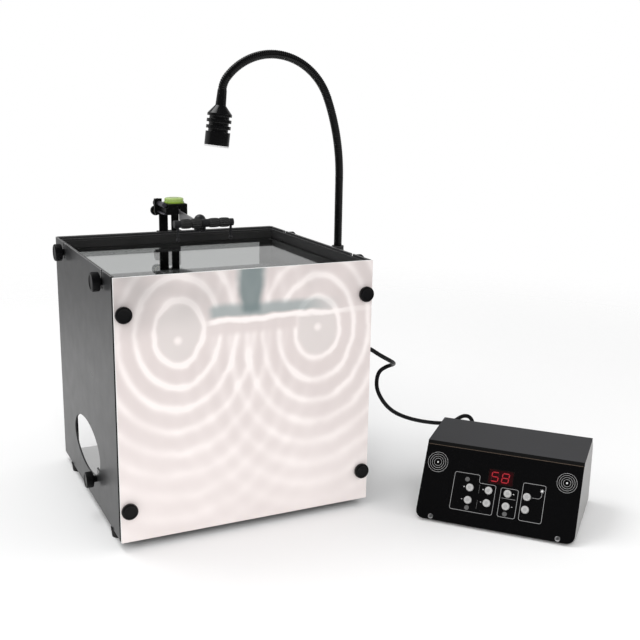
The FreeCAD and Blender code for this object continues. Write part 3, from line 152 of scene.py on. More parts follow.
def lathe(profile, around, flutes=0, depth=0.0, loop=False):
    """Rings about the z axis. A row of the profile is a radius r, a height z and, where it has a
    third number w, how far the flutes reach it: r - w * depth * (1 + cos(flutes * angle)) / 2. An
    end ring of radius 0 becomes one point; a loop joins its last ring to its first."""
    profile = np.asarray(profile, float)
    angle = whole_turn(around)
    radius, height = profile[:, :1], profile[:, 1:2]
    weight = profile[:, 2:3] if profile.shape[1] > 2 else 0.0 * radius
    reach = radius - weight * depth * (1.0 + np.cos(flutes * angle)) / 2.0
    return skin(turned(reach, height, angle), radius[0, 0] == 0.0, radius[-1, 0] == 0.0, loop)


def skin(rings, start_point=False, end_point=False, loop=False):
    """Quads between neighbouring closed rings; loop joins the last ring to the first. A start or
    end point turns that ring into a fan round its middle, so that the shape is closed."""
    rings = np.asarray(rings, float)
    first, last = rings[0].mean(axis=0), rings[-1].mean(axis=0)
    rings = rings[int(start_point):len(rings) - int(end_point)]
    rows, around = rings.shape[:2]
    points = rings.reshape(-1, 3)
    here = np.arange(rows * around).reshape(rows, around)
    side = np.roll(here, -1, axis=1)
    above, above_side = np.roll(here, -1, axis=0), np.roll(side, -1, axis=0)
    quads = np.stack([here, side, above_side, above], axis=-1)
    faces = (quads if loop else quads[:-1]).reshape(-1, 4).tolist()
    if start_point:
        pole = np.full(around, len(points))
        points = np.vstack([points, first])
        faces += np.stack([pole, side[0], here[0]], axis=-1).tolist()
    if end_point:
        pole = np.full(around, len(points))
        points = np.vstack([points, last])
        faces += np.stack([pole, here[-1], side[-1]], axis=-1).tolist()
    return points, faces


def rounded(corners, reach, steps=4):
    """A profile whose inner corners are turned into short arcs: at each corner the curve runs from
    reach before it to reach after it as a quadratic Bezier with the corner as its control point."""
    corners = np.asarray(corners, float)
    before, at, after = corners[:-2], corners[1:-1], corners[2:]
    to_before, to_after = before - at, after - at
    long_before = np.linalg.norm(to_before[:, :2], axis=1, keepdims=True)
    long_after = np.linalg.norm(to_after[:, :2], axis=1, keepdims=True)
    start = at + to_before * np.minimum(reach / long_before, 0.45)
    end = at + to_after * np.minimum(reach / long_after, 0.45)
    t = np.linspace(0.0, 1.0, steps)[None, :, None]
    arcs = start[:, None] * (1 - t) ** 2 + at[:, None] * 2 * t * (1 - t) + end[:, None] * t ** 2
    return np.vstack([corners[:1], arcs.reshape(-1, corners.shape[1]), corners[-1:]])


def stand(shape, origin, axis, turn=0.0):
    """A shape whose z axis is turned to an axis and whose zero is moved to an origin (metres);
    the shape's own measures are millimetres."""
    points, faces = shape
    lean = Vector(axis).normalized().to_track_quat("Z", "Y").to_matrix()
    lean = lean @ Matrix.Rotation(turn, 3, "Z")
    return points * MM @ np.array(lean).T + np.asarray(origin), faces


def link(name, data):
    """A new object in the scene, at the origin."""
    thing = bpy.data.objects.new(name, data)
    bpy.context.scene.collection.objects.link(thing)
    return thing


def add_piece(name, shapes, materials, body, replaces=(), smooth=35.0):
    """One object from several (points, faces) shapes; shape i takes material number i. It rides
    on a body and hides the CAD nodes that it replaces."""
    points, faces, index = [], [], []
    for number, (spots, quads) in enumerate(shapes):
        base = sum(len(p) for p in points)
        points.append(spots)
        faces += [[base + corner for corner in face] for face in quads]
        index += [min(number, len(materials) - 1)] * len(quads)
    mesh = bpy.data.meshes.new(name)
    mesh.from_pydata(np.vstack(points).tolist(), [], faces)
    for material in materials:
        mesh.materials.append(material)
    mesh.polygons.foreach_set("material_index", np.array(index, dtype=np.int32))
    mesh.polygons.foreach_set("use_smooth", np.ones(len(faces), dtype=bool))
    mesh.set_sharp_from_angle(angle=math.radians(smooth))
    mesh.update()
    piece = link(name, mesh)
    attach(piece, body)
    if replaces:
        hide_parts(*replaces)
    return piece


# ---- node trees

class Wiring:
    """Adds nodes to one tree. Apart from node, feed and fill, each method returns the output of
    what it adds."""

    def __init__(self, tree):
        self.tree = tree

    def node(self, kind, **values):
        made = self.tree.nodes.new(kind)
        for name, value in values.items():
            setattr(made, name, value)
        return made

    def feed(self, socket, value):
        if isinstance(value, bpy.types.NodeSocket):
            self.tree.links.new(value, socket)
        else:
            socket.default_value = value

    def fill(self, node, **values):
        """Feeds a node's inputs by name; an underscore stands for a space."""
        for label, value in values.items():
            self.feed(node.inputs[label.replace("_", " ")], value)

    def math(self, operation, one, two=None, clamp=False):
        made = self.node("ShaderNodeMath", operation=operation, use_clamp=clamp)
        self.feed(made.inputs[0], one)
        if two is not None:
            self.feed(made.inputs[1], two)
        return made.outputs[0]

    def times(self, first, *others, clamp=False):
        for other in others:
            first = self.math("MULTIPLY", first, other, clamp)
        return first

    def plus(self, one, two, clamp=False):
        return self.math("ADD", one, two, clamp)

    def minus(self, one, two, clamp=False):
        return self.math("SUBTRACT", one, two, clamp)

    def vector(self, operation, one, two=None, scale=None):
        made = self.node("ShaderNodeVectorMath", operation=operation)
        self.feed(made.inputs[0], one)
        if two is not None:
            self.feed(made.inputs[1], two)
        if scale is not None:
            self.feed(made.inputs["Scale"], scale)
        return made.outputs["Value" if operation in ("DOT_PRODUCT", "LENGTH") else "Vector"]

    def mix(self, amount, one, two):
        """The colour one where amount is 0 and two where it is 1."""
        made = self.node("ShaderNodeMix", data_type="RGBA")
        for socket, value in zip((0, 6, 7), (amount, one, two)):
            self.feed(made.inputs[socket], value)
        return made.outputs[2]

    def step(self, value, low, high, out_low=0.0, out_high=1.0):
        """A smooth step: out_low below low, out_high above high."""
        made = self.node("ShaderNodeMapRange", interpolation_type="SMOOTHSTEP")
        self.fill(made, Value=value, From_Min=low, From_Max=high, To_Min=out_low, To_Max=out_high)
        return made.outputs["Result"]

    def window(self, value, rise, fall, end=0.0):
        """0 below the pair rise, 1 between the pairs and end above the pair fall."""
        return self.times(self.step(value, *rise), self.step(value, *fall, 1.0, end))

    def noise(self, vector, scale, detail=3.0):
        made = self.node("ShaderNodeTexNoise")
        self.fill(made, Vector=vector, Scale=scale, Detail=detail)
        return made.outputs[0]

    def parts(self, vector):
        made = self.node("ShaderNodeSeparateXYZ")
        self.feed(made.inputs[0], vector)
        return made.outputs

    def normal(self):
        return self.node("ShaderNodeNewGeometry").outputs["Normal"]

    def group(self, name, **values):
        made = self.node("ShaderNodeGroup")
        made.node_tree = bpy.data.node_groups[name]
        self.fill(made, **values)
        return made.outputs


def rgba(tone):
    """A colour with alpha, from a colour or from one number for a grey."""
    return (*((tone,) * 3 if isinstance(tone, float) else tuple(tone)[:3]), 1.0)


VECTOR, FLOAT, COLOUR = "NodeSocketVector", "NodeSocketFloat", "NodeSocketColor"


def new_group(name, inputs, outputs):
    """An empty shader node group; inputs and outputs are labels with their kinds of socket."""
    tree = bpy.data.node_groups.new(name, "ShaderNodeTree")
    for way, sockets in (("INPUT", inputs), ("OUTPUT", outputs)):
        for label, kind in sockets.items():
            tree.interface.new_socket(name=label, in_out=way, socket_type=kind)
    wire = Wiring(tree)
    return wire, wire.node("NodeGroupInput").outputs, wire.node("NodeGroupOutput").inputs


def grain_group():
    """Fine grain: a noise varies the colour's lightness and the roughness, and gives a height."""
    wire, entry, leave = new_group(
        "Grain", {"Vector": VECTOR, "Color": COLOUR, "Scale": FLOAT, "Variation": FLOAT,
                  "Roughness": FLOAT, "Spread": FLOAT},
        {"Color": COLOUR, "Roughness": FLOAT, "Height": FLOAT})
    fine = wire.noise(entry["Vector"], entry["Scale"], 4.0)
    broad = wire.noise(entry["Vector"], wire.times(entry["Scale"], 0.04))
    both = wire.minus(wire.plus(fine, broad), 1.0)
    light = wire.plus(1.0, wire.times(both, entry["Variation"]))
    wire.feed(leave["Color"], wire.vector("SCALE", entry["Color"], scale=light))
    rough = wire.times(wire.minus(broad, 0.5), entry["Spread"])
    wire.feed(leave["Roughness"], wire.plus(entry["Roughness"], rough, clamp=True))
    wire.feed(leave["Height"], fine)


def wear_and_highlight_group():
    """Light edges, partly rubbed paint and partly painted highlight: where the bevelled normal
    leaves the face's normal the colour turns to the edge colour, broken up by a noise."""
    wire, entry, leave = new_group(
        "Edge wear and highlight", {"Color": COLOUR, "Wear Color": COLOUR, "Vector": VECTOR, "Width": FLOAT,
                      "Amount": FLOAT}, {"Color": COLOUR})
    bevel = wire.node("ShaderNodeBevel", samples=6)
    wire.fill(bevel, Radius=entry["Width"])
    turn = wire.minus(1.0, wire.vector("DOT_PRODUCT", bevel.outputs[0], wire.normal()))
    patch = wire.step(wire.noise(entry["Vector"], 60.0), 0.3, 0.7, 0.55, 1.0)
    edge = wire.times(wire.step(turn, 0.02, 0.22), patch)
    mask = wire.times(edge, entry["Amount"], clamp=True)
    wire.feed(leave["Color"], wire.mix(mask, entry["Color"], entry["Wear Color"]))


def dust_group():
    """A thin layer of dust on faces that look up, in soft patches."""
    wire, entry, leave = new_group(
        "Dust", {"Color": COLOUR, "Dust Color": COLOUR, "Vector": VECTOR, "Amount": FLOAT},
        {"Color": COLOUR})
    patch = wire.step(wire.noise(entry["Vector"], 25.0, 5.0), 0.35, 0.75, 0.3, 1.0)
    upward = wire.times(wire.step(wire.parts(wire.normal())[2], 0.3, 0.95), patch)
    mask = wire.times(upward, entry["Amount"], clamp=True)
    wire.feed(leave["Color"], wire.mix(mask, entry["Color"], entry["Dust Color"]))


def ring_group():
    """One source's rings: the distance from the source, with x divided by the squash, runs through
    bright crests one ring step apart that widen and fade with the distance."""
    wire, entry, leave = new_group(
        "Wave rings", {label: FLOAT for label in ("X", "Z", "Source X", "Source Z", "First Ring",
                                                  "Ring Step", "Squash")},
        {"Crest": FLOAT, "Inside": FLOAT})
    across = wire.math("DIVIDE", wire.minus(entry["X"], entry["Source X"]), entry["Squash"])
    rise = wire.minus(entry["Z"], entry["Source Z"])
    distance = wire.math("SQRT", wire.plus(wire.times(across, across), wire.times(rise, rise)))
    turns = wire.math("DIVIDE", wire.minus(distance, entry["First Ring"]), entry["Ring Step"])
    phase = wire.minus(wire.math("FRACT", wire.plus(turns, 10.5)), 0.5)
    width = wire.plus(0.115, wire.times(distance, 0.85))
    slope = wire.math("DIVIDE", phase, width)
    crest = wire.math("EXPONENT", wire.times(slope, slope, -1.0))
    fade = wire.math("EXPONENT", wire.times(distance, -10.5))
    wire.feed(leave["Crest"], wire.times(crest, fade, wire.step(turns, -0.45, -0.3)))
    wire.feed(leave["Inside"], wire.step(turns, -0.35, 0.0, 1.0, 0.0))


# ---- materials

# Each finish has a colour (one number for a grey, None where the settings give it), its
# roughness, specular level, grain scale, colour variation and bump, and then what else it has.
# The light edge colours in these rows are partly wear and partly painted highlight; a colour for
# faces that don't look up is painted shade.
FINISHES = {
    "cord_sheath_rubber": (None, 0.42, 0.25, 1500.0, 0.25, 0.2, dict(depth=0.0001)),
    "moulded_sleeve": (None, 0.5, 0.3, 1200.0, 0.2, 0.2, dict(depth=0.0001)),
    # The case's light top edges are wear and painted highlight; its low edges and the strip in
    # front of the fold carry painted shade.
    "case_satin_coat": (None, 0.30, 0.16, 1100.0, 0.12, 0.12, dict(
        wear_and_highlight=0.60, wear_amount=0.9, dust=0.05, wear_above=0.296, fold=tank(0, 9.0, 0)[1])),
    "rail_black_coat": (None, 0.5, 0.3, 1100.0, 0.2, 0.2, dict(wear_and_highlight=0.25, dust=0.04)),
    "inside_light_paint": (None, 0.6, 0.3, 700.0, 0.06, 0.15, dict(dust=0.05)),
    # Its faces that don't look up are darkened: painted shade.
    "floor_zinc_satin": (0.95, 0.2, 0.5, 300.0, 0.05, 0.05, dict(metallic=0.95, sides=0.01)),
    "foot_rubber": (0.012, 0.7, 0.3, 1500.0, 0.3, 0.35, {}),
    "knob_moulded_plastic": (None, 0.36, 0.16, 1400.0, 0.3, 0.15, dict(
        depth=0.0001, wear_and_highlight=0.05, wear_amount=0.35, wear_width=0.0005)),
    "tray_black_coat": (None, 0.5, 0.3, 1000.0, 0.25, 0.25, dict(
        wear_and_highlight=0.30, wear_amount=0.6, dust=0.03)),
    "beach_foam": (0.028, 0.9, 0.1, 900.0, 0.5, 0.7, dict(depth=0.0006)),
    "generator_black_coat": (None, 0.42, 0.2, 1100.0, 0.2, 0.2, dict(
        wear_and_highlight=(0.12, 0.12, 0.125), wear_width=0.0006)),
    # The arm's bright edges are partly wear and partly a painted highlight along its top edge.
    "arm_aluminium": ((0.42, 0.42, 0.43), 0.38, 0.5, 500.0, 0.25, 0.2, dict(
        metallic=0.9, stretch=(1.0, 0.05, 1.0), wear_and_highlight=0.9, wear_amount=0.8)),
    "motor_plastic": ((0.016, 0.016, 0.018), 0.38, 0.5, 900.0, 0.3, 0.2, {}),
    "coil_copper_wire": ((0.55, 0.28, 0.12), 0.35, 0.5, 1500.0, 0.12, 0.6, dict(
        metallic=1.0, stretch=(0.2, 0.2, 4.0), depth=0.0004)),
    "level_rim": ((0.30, 0.46, 0.06), 0.3, 0.5, 600.0, 0.1, 0.05, dict(coat=0.6)),
    "shank_lilac_grey": ((0.10, 0.095, 0.115), 0.35, 0.5, 700.0, 0.12, 0.12, dict(metallic=0.6)),
    "boss_brass": ((0.30, 0.25, 0.10), 0.35, 0.5, 800.0, 0.3, 0.2, dict(metallic=1.0)),
    "collar_rubber": (None, 0.5, 0.5, 900.0, 0.4, 0.35, {}),
    "bar_black_satin": ((0.02, 0.02, 0.022), 0.4, 0.5, 800.0, 0.3, 0.2, dict(
        wear_and_highlight=(0.3, 0.3, 0.32))),
    "neck_ribbed_metal": (None, 0.3, 0.35, 1300.0, 0.3, 0.2, dict(depth=0.0001)),
    "lamp_anodised_black": (None, 0.24, 0.45, 900.0, 0.3, 0.15, dict(
        stretch=(0.3, 0.3, 2.0), depth=0.0001, wear_and_highlight=(0.07, 0.07, 0.075), wear_amount=0.4,
        wear_width=0.0005)),
    "bezel_bright_metal": (0.86, 0.3, 0.5, 700.0, 0.05, 0.05, dict(metallic=0.2)),
    "console_light_coat": (None, 0.5, 0.35, 1000.0, 0.06, 0.15, dict(
        wear_and_highlight=(0.6, 0.6, 0.59), wear_amount=0.6, dust=0.03)),
    # The cover's faces that don't look up, such as its front lip, are darkened: painted shade.
    "console_cover_coat": (None, 0.6, 0.2, 1200.0, 0.15, 0.3, dict(sides=0.004)),
    "panel_gloss_black": (None, 0.14, 0.3, 300.0, 0.3, 0.03, dict(
        spread=0.08, wear_and_highlight=(0.10, 0.08, 0.07), wear_width=0.0005)),
    "board_green_mask": ((0.02, 0.11, 0.05), 0.4, 0.5, 400.0, 0.12, 0.12, {}),
    "display_dark_red": ((0.022, 0.002, 0.003), 0.18, 0.4, 500.0, 0.3, 0.02, {}),
    "indicator_lens": ((0.13, 0.13, 0.135), 0.3, 0.5, 900.0, 0.2, 0.05, dict(coat=0.5)),
    "print_light_grey": (0.30, 0.5, 0.5, 1500.0, 0.25, 0.05, dict(depth=0.00002)),
    "print_dim_grey": (0.115, 0.5, 0.5, 1500.0, 0.25, 0.05, dict(depth=0.00002)),
    "print_bright_grey": (0.48, 0.5, 0.5, 1500.0, 0.25, 0.05, dict(depth=0.00002)),
    "print_white": (0.75, 0.45, 0.5, 1500.0, 0.1, 0.05, dict(depth=0.00002)),
    # A painted highlight: the panel's top edge catching the light.
    "panel_edge_highlight": ((0.10, 0.072, 0.05), 0.5, 0.5, 600.0, 0.5, 0.05, dict(depth=0.00002)),
    "digit_unlit_red": ((0.035, 0.003, 0.005), 0.35, 0.5, 900.0, 0.12, 0.03, {}),
    "button_silver_white": ((0.52, 0.52, 0.515), 0.38, 0.5, 900.0, 0.1, 0.1, dict(
        metallic=0.15, depth=0.0001)),
    "button_ring_grey": (0.38, 0.5, 0.5, 900.0, 0.1, 0.12, {}),
    "screw_zinc": ((0.55, 0.55, 0.56), 0.32, 0.5, 900.0, 0.2, 0.15, dict(metallic=1.0)),
}
# What a finish has where its row doesn't say otherwise.
PLAIN = dict(metallic=0.0, coat=0.0, spread=0.1, depth=0.0002, stretch=None, sides=None, dust=0.0,
             wear_and_highlight=None, wear_amount=0.5, wear_width=0.0008, wear_above=None, fold=None)
DUST = (0.35, 0.34, 0.33)
# Painted shade: the tone of the strip in front of the fold and of the low edges, then the widths
# over which they fade in.
FOLD_SHADE_TONE, EDGE_SHADE_TONE = 0.003, 0.004
EDGE_FADE, FOLD_FADE = 0.008, 0.0006


def start_material(name):
    """A new material: its wiring, its Principled shader and its Object coordinates."""
    material = bpy.data.materials.new(name)
    material.use_nodes = True
    material.node_tree.nodes.clear()
    wire = Wiring(material.node_tree)
    shader = wire.node("ShaderNodeBsdfPrincipled")
    wire.feed(wire.node("ShaderNodeOutputMaterial").inputs["Surface"], shader.outputs[0])
    spot = wire.node("ShaderNodeTexCoord").outputs["Object"]
    return material, wire, shader, spot


def finish(name, tone=None, **more):
    """A grained surface from the table of finishes, with light edges that are partly rubbed paint
    and partly painted highlight. Stretch draws the grain out along an axis, as brushing does; faces
    that don't look up can take a colour of painted shade. Below a given height the edges take a
    dark line of painted shade instead. Where it lies further to the front than fold the coat is
    dark and matt: painted shade of the bend."""
    known = bpy.data.materials.get(name)
    if known:
        return known
    own, rough, specular, scale, variation, bump, extra = FINISHES[name]
    has = SimpleNamespace(**{**PLAIN, **extra, **more})
    material, wire, shader, spot = start_material(name)
    vector = wire.vector("MULTIPLY", spot, has.stretch) if has.stretch else spot
    grain = wire.group("Grain", Vector=vector, Color=rgba(own if tone is None else tone),
                       Scale=scale, Variation=variation, Roughness=rough, Spread=has.spread)
    shade, matt = grain["Color"], grain["Roughness"]
    # Faces that don't look up take a second colour: painted shade.
    if has.sides is not None:
        up = wire.parts(wire.normal())[2]
        shade = wire.mix(wire.step(up, 0.7, 0.9), rgba(has.sides), shade)
    if has.dust:
        shade = wire.group("Dust", Color=shade, Dust_Color=rgba(DUST), Vector=spot,
                           Amount=has.dust)["Color"]
    # Light edges: partly wear, partly painted highlight.
    if has.wear_and_highlight is not None:
        amount, edge_tone = has.wear_amount, rgba(has.wear_and_highlight)
        # Below this height the edges take a dark line of painted shade instead of the light edge.
        if has.wear_above is not None:
            high = wire.step(wire.parts(spot)[2], has.wear_above - EDGE_FADE, has.wear_above)
            edge_tone = wire.mix(high, rgba(EDGE_SHADE_TONE), edge_tone)
            amount = wire.minus(1.0, wire.times(high, 1.0 - has.wear_amount))
        shade = wire.group("Edge wear and highlight", Color=shade, Wear_Color=edge_tone, Vector=spot,
                           Width=has.wear_width, Amount=amount)["Color"]
    # In front of the fold's line the coat is dark and matt: painted shade of the bend.
    if has.fold is not None:
        away = wire.step(wire.parts(spot)[1], has.fold - FOLD_FADE, has.fold + FOLD_FADE)
        shade = wire.mix(away, rgba(FOLD_SHADE_TONE), shade)
        matt = wire.minus(1.0, wire.times(away, wire.minus(1.0, matt)))
    lift = wire.node("ShaderNodeBump")
    wire.fill(lift, Height=grain["Height"], Strength=bump, Distance=has.depth)
    wire.fill(shader, Base_Color=shade, Roughness=matt, Metallic=has.metallic,
              Specular_IOR_Level=specular, Coat_Weight=has.coat, Normal=lift.outputs[0])
    return material


# The wave picture in the tank's millimetres: both sources (x, z), the line between their halves,
# which is also the middle of the arm's shadow, both ends of the bar's shadow, and the bright spots
# of the dippers' tips. Rows are heights in metres and columns are millimetres across; each band
# fades in over its first pair and out over its second.
SOURCES = ((67.8, 239.0), (230.4, 229.0))
DIVIDE = 150.5
BAR_SHADOW = (97.0, 266.0)
DIPPER_TIPS, TIP_HEIGHT = (67.0, 231.0), 230.0
RING_SQUASH, RING_STRENGTH = 0.77, 1.7
CALM_ROWS, CALM_COLUMNS = ((0.227, 0.236), (0.256, 0.266)), ((96, 106), (202, 212))
BAR_ROWS, BAR_FADES = ((0.2495, 0.2535), (0.2590, 0.2680)), (0.012, 0.06)
LINE_ROWS, LINE_COLUMNS = ((0.2420, 0.2465), (0.2485, 0.2510)), ((92, 108), (240, 290))
ARM_ROWS, ARM_HALVES = (0.250, 0.300), (0.0095, 0.0145)
WAVER = 0.0075  # how far the drawn edges stray (metres)
# Painted light and shade of the projected picture: grey inside the innermost rings, shade towards
# the top left corner and the bright line under the bar's shadow.
INSIDE_GREY, CORNER_SHADE, LINE_WHITE = (0.72, 0.70, 0.68), (0.33, 0.315, 0.31), (0.99, 0.93, 0.91)
# The cut edges: the sheet's own white with a painted glow of the light they gather.
CUT_EDGE_GLOW = (0.86, 0.86, 0.85)


def screen_material(look):
    """Frosted acrylic that carries the wave picture, the lamp's light through the water painted on
    as
    colour: two sets of bright rings, the painted shadow of the bar and of the arm, painted shade
    towards the top left, and bright cut edges."""
    def at(across):
        """Millimetres across the tank, as metres in the row frame."""
        return np.asarray(across) * MM + TANK_CORNER[0]

    material, wire, shader, spot = start_material("screen_wave_picture")
    x, _, z = wire.parts(spot)
    waver = wire.times(wire.minus(wire.noise(spot, 38.0, 2.0), 0.5), WAVER)
    x_drawn, z_drawn = wire.plus(x, waver), wire.minus(z, waver)
    one, two = (wire.group("Wave rings", X=x_drawn, Z=z_drawn, Source_X=at(across),
                           Source_Z=high * MM, First_Ring=look.first_ring,
                           Ring_Step=look.ring_step, Squash=RING_SQUASH)
                for across, high in SOURCES)
    # Each source rules its own half, and its rings stop at the other's innermost ring.
    middle = at(DIVIDE)
    halves = ((one, two, wire.step(x, middle - 0.02, middle + 0.10, 1.0, 0.25)),
              (two, one, wire.step(x, middle - 0.10, middle + 0.02, 0.25, 1.0)))
    crests = [wire.times(own["Crest"], half, wire.minus(1.0, other["Inside"]))
              for own, other, half in halves]
    # The rings are calm under the bar, uneven in strength, and lie over soft clouds.
    calm = wire.times(wire.step(z, *CALM_ROWS[0]), wire.window(x, *at(CALM_COLUMNS)),
                      wire.step(z, *CALM_ROWS[1], 0.92, 0.0))
    patch = wire.step(wire.noise(spot, 22.0, 2.0), 0.3, 0.7, 0.7, 1.3)
    bright = wire.times(wire.plus(*crests), patch, wire.minus(1.0, calm), RING_STRENGTH)
    cloud = wire.times(wire.minus(wire.noise(spot, 26.0, 2.0), 0.5), 0.26)
    low_light = wire.step(z, 0.02, 0.20, 0.56, 0.16)
    picture = wire.mix(wire.plus(wire.plus(bright, cloud), low_light, clamp=True),
                       rgba(look.trough), rgba(look.crest))
    # Inside the innermost rings and towards the top left corner the ground is darker: painted shade
    # of the projected light.
    inside = wire.times(wire.math("MAXIMUM", one["Inside"], two["Inside"]), 0.35)
    picture = wire.mix(inside, picture, rgba(INSIDE_GREY))
    dark = wire.times(wire.step(z, 0.225, 0.285), wire.step(x, at(20), at(150), 0.55, 0.15),
                      wire.step(wire.noise(spot, 17.0, 1.0), 0.35, 0.65, 0.45, 1.25))
    picture = wire.mix(dark, picture, rgba(CORNER_SHADE))
    for across in DIPPER_TIPS:
        tip = tuple(tank(across, 0.0, TIP_HEIGHT))
        away = wire.vector("LENGTH", wire.vector("SUBTRACT", spot, tip))
        picture = wire.mix(wire.step(away, 0.001, 0.007, 0.85, 0.0), picture, rgba(look.crest))
    # The bar's shadow is a soft band with a bright line under it; the arm's is a soft wedge above.
    (left, right), (fade_in, fade_out) = at(BAR_SHADOW), BAR_FADES
    bar = wire.times(wire.window(z_drawn, *BAR_ROWS),
                     wire.window(x_drawn, (left, left + fade_in), (right - fade_out, right)))
    half = wire.times(wire.step(z, *ARM_ROWS, *ARM_HALVES), 1.5)
    off = wire.math("ABSOLUTE", wire.minus(x_drawn, middle))
    side = wire.minus(1.0, wire.math("DIVIDE", off, half), clamp=True)
    arm = wire.times(wire.step(side, 0.0, 0.6), wire.step(z_drawn, 0.250, 0.258))
    line = wire.times(wire.window(z_drawn, *LINE_ROWS),
                      wire.window(x_drawn, *at(LINE_COLUMNS), 0.35))
    deep = [0.7 * c for c in look.shade]
    for mark, strength, tone in ((bar, 0.72, look.shade), (arm, 0.93, deep),
                                 (line, 0.92, LINE_WHITE)):
        picture = wire.mix(wire.times(mark, strength), picture, rgba(tone))
    # Faces that don't look to the front are the cut edges, with their painted glow.
    front = wire.step(wire.times(wire.parts(wire.normal())[1], -1.0), 0.3, 0.7)
    wire.fill(shader, Base_Color=wire.mix(front, rgba(CUT_EDGE_GLOW), picture),
              Roughness=wire.step(wire.noise(spot, 300.0), 0.3, 0.7, 0.40, 0.50),
              Specular_IOR_Level=0.3)
    return material


def glass_material(name, tint, rough):
    """Clear glass whose roughness changes a little over the surface."""
    material, wire, shader, spot = start_material(name)
    tone = wire.mix(wire.noise(spot, 12.0, 2.0), rgba(tint), rgba([0.97 * c for c in tint]))
    wire.fill(shader, Base_Color=tone, Transmission_Weight=1.0, IOR=1.5,
              Roughness=wire.step(wire.noise(spot, 40.0), 0.4, 0.7, rough, rough + 0.015))
    return material


def dress(material, *nodes):
    """Gives CAD nodes a material, in every slot that they have."""
    for name in nodes:
        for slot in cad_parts[name].material_slots:
            slot.material = material


# ---- operators

class PieceOperator(bpy.types.Operator):
    """What every operator of the ripple tank shares"""
    bl_options = {"REGISTER", "UNDO"}


class RIPPLE_OT_shared(PieceOperator):
    """Build the node groups that the materials share"""
    bl_idname = "ripple_tank.shared"
    bl_label = "Shared node groups"

    def execute(self, context):
        for build in (grain_group, wear_and_highlight_group, dust_group, ring_group):
            build()
        return {"FINISHED"}


CAMERA_PLACE = (-0.5011, -1.0018, 0.4912)
CAMERA_TURN = (-26.148, 13.599, 0.982)  # round z, height above the middle, roll (degrees)
CAMERA_LENS = 53.7
CAMERA_SENSOR = 36.0


class RIPPLE_OT_camera(PieceOperator):
    """Place the camera"""
    bl_idname = "ripple_tank.camera"
    bl_label = "Camera"

    def execute(self, context):
        round_z, high, roll = (math.radians(angle) for angle in CAMERA_TURN)
        data = bpy.data.cameras.new("camera")
        data.lens, data.sensor_width = CAMERA_LENS, CAMERA_SENSOR
        camera = context.scene.camera = link("camera", data)
        turn = Matrix.Rotation(round_z, 4, "Z") @ Matrix.Rotation(math.pi / 2 - high, 4, "X")
        turn = turn @ Matrix.Rotation(roll, 4, "Z")
        camera.matrix_world = Matrix.Translation(CAMERA_PLACE) @ turn
        context.scene.view_settings.view_transform = "Standard"
        return {"FINISHED"}


# The cord's route from the gland to the plug, in the tank's millimetres.
CORD_ROUTE = [
    (312, 55, 186), (328.5, 55, 181.5), (340.5, 50, 172.5), (354, 46.5, 164.5), (366.5, 56, 157),
    (373.5, 70.5, 150.5), (371, 81.5, 145.5), (361.5, 84.5, 139.5), (356.5, 82, 129.5),
    (355.5, 79, 118), (359.5, 75.5, 106.5), (367, 72, 95), (378.5, 69.5, 85), (396.5, 68.5, 76),
    (416.5, 68, 69), (437, 68.5, 63.5), (449.5, 61, 63.5), (461, 55.5, 66), (472, 51.5, 74.5),
    (480.5, 45.5, 73.5), (482.5, 40, 62), (475.5, 35, 52.5), (466.7, 30.1, 48.0),
]
GLAND_PLACE = (TANK_WIDTH, 55.0, 186.0)
PLUG_PLACE = (24.0, 45.0)  # right and up on the console's back
SLEEVE_END, SLEEVE_RINGS = 3.6, 0.35  # radius at the cord, depth of the rings
CONSOLE_CORNER = (334.4, -57.8, 3.0)
CONSOLE_TURN = math.radians(-47.72)
CONSOLE_WIDTH, CONSOLE_DEPTH = 183.5, 137.0
PANEL_SLOPE = math.atan2(79.5, 49.6)


def console_matrix():
    """From the console's own millimetres (right, back, up) to the row frame."""
    place = Matrix.Translation(Vector(tank(*CONSOLE_CORNER)))
    return place @ Matrix.Rotation(CONSOLE_TURN, 4, "Z") @ Matrix.Scale(MM, 4)


def on_panel(shapes, across=0.0, up=0.0, turn=0.0):
    """Shapes in the sloped panel's millimetres (right, up the slope, out), turned about their zero
    and moved across and up on the panel, in the row frame."""
    matrix = console_matrix() @ Matrix.Rotation(PANEL_SLOPE, 4, "X")
    matrix = matrix @ Matrix.Translation((across, up, 0.0)) @ Matrix.Rotation(turn, 4, "Z")
    matrix = np.array(matrix)
    return [(points @ matrix[:3, :3].T + matrix[:3, 3], faces) for points, faces in shapes]


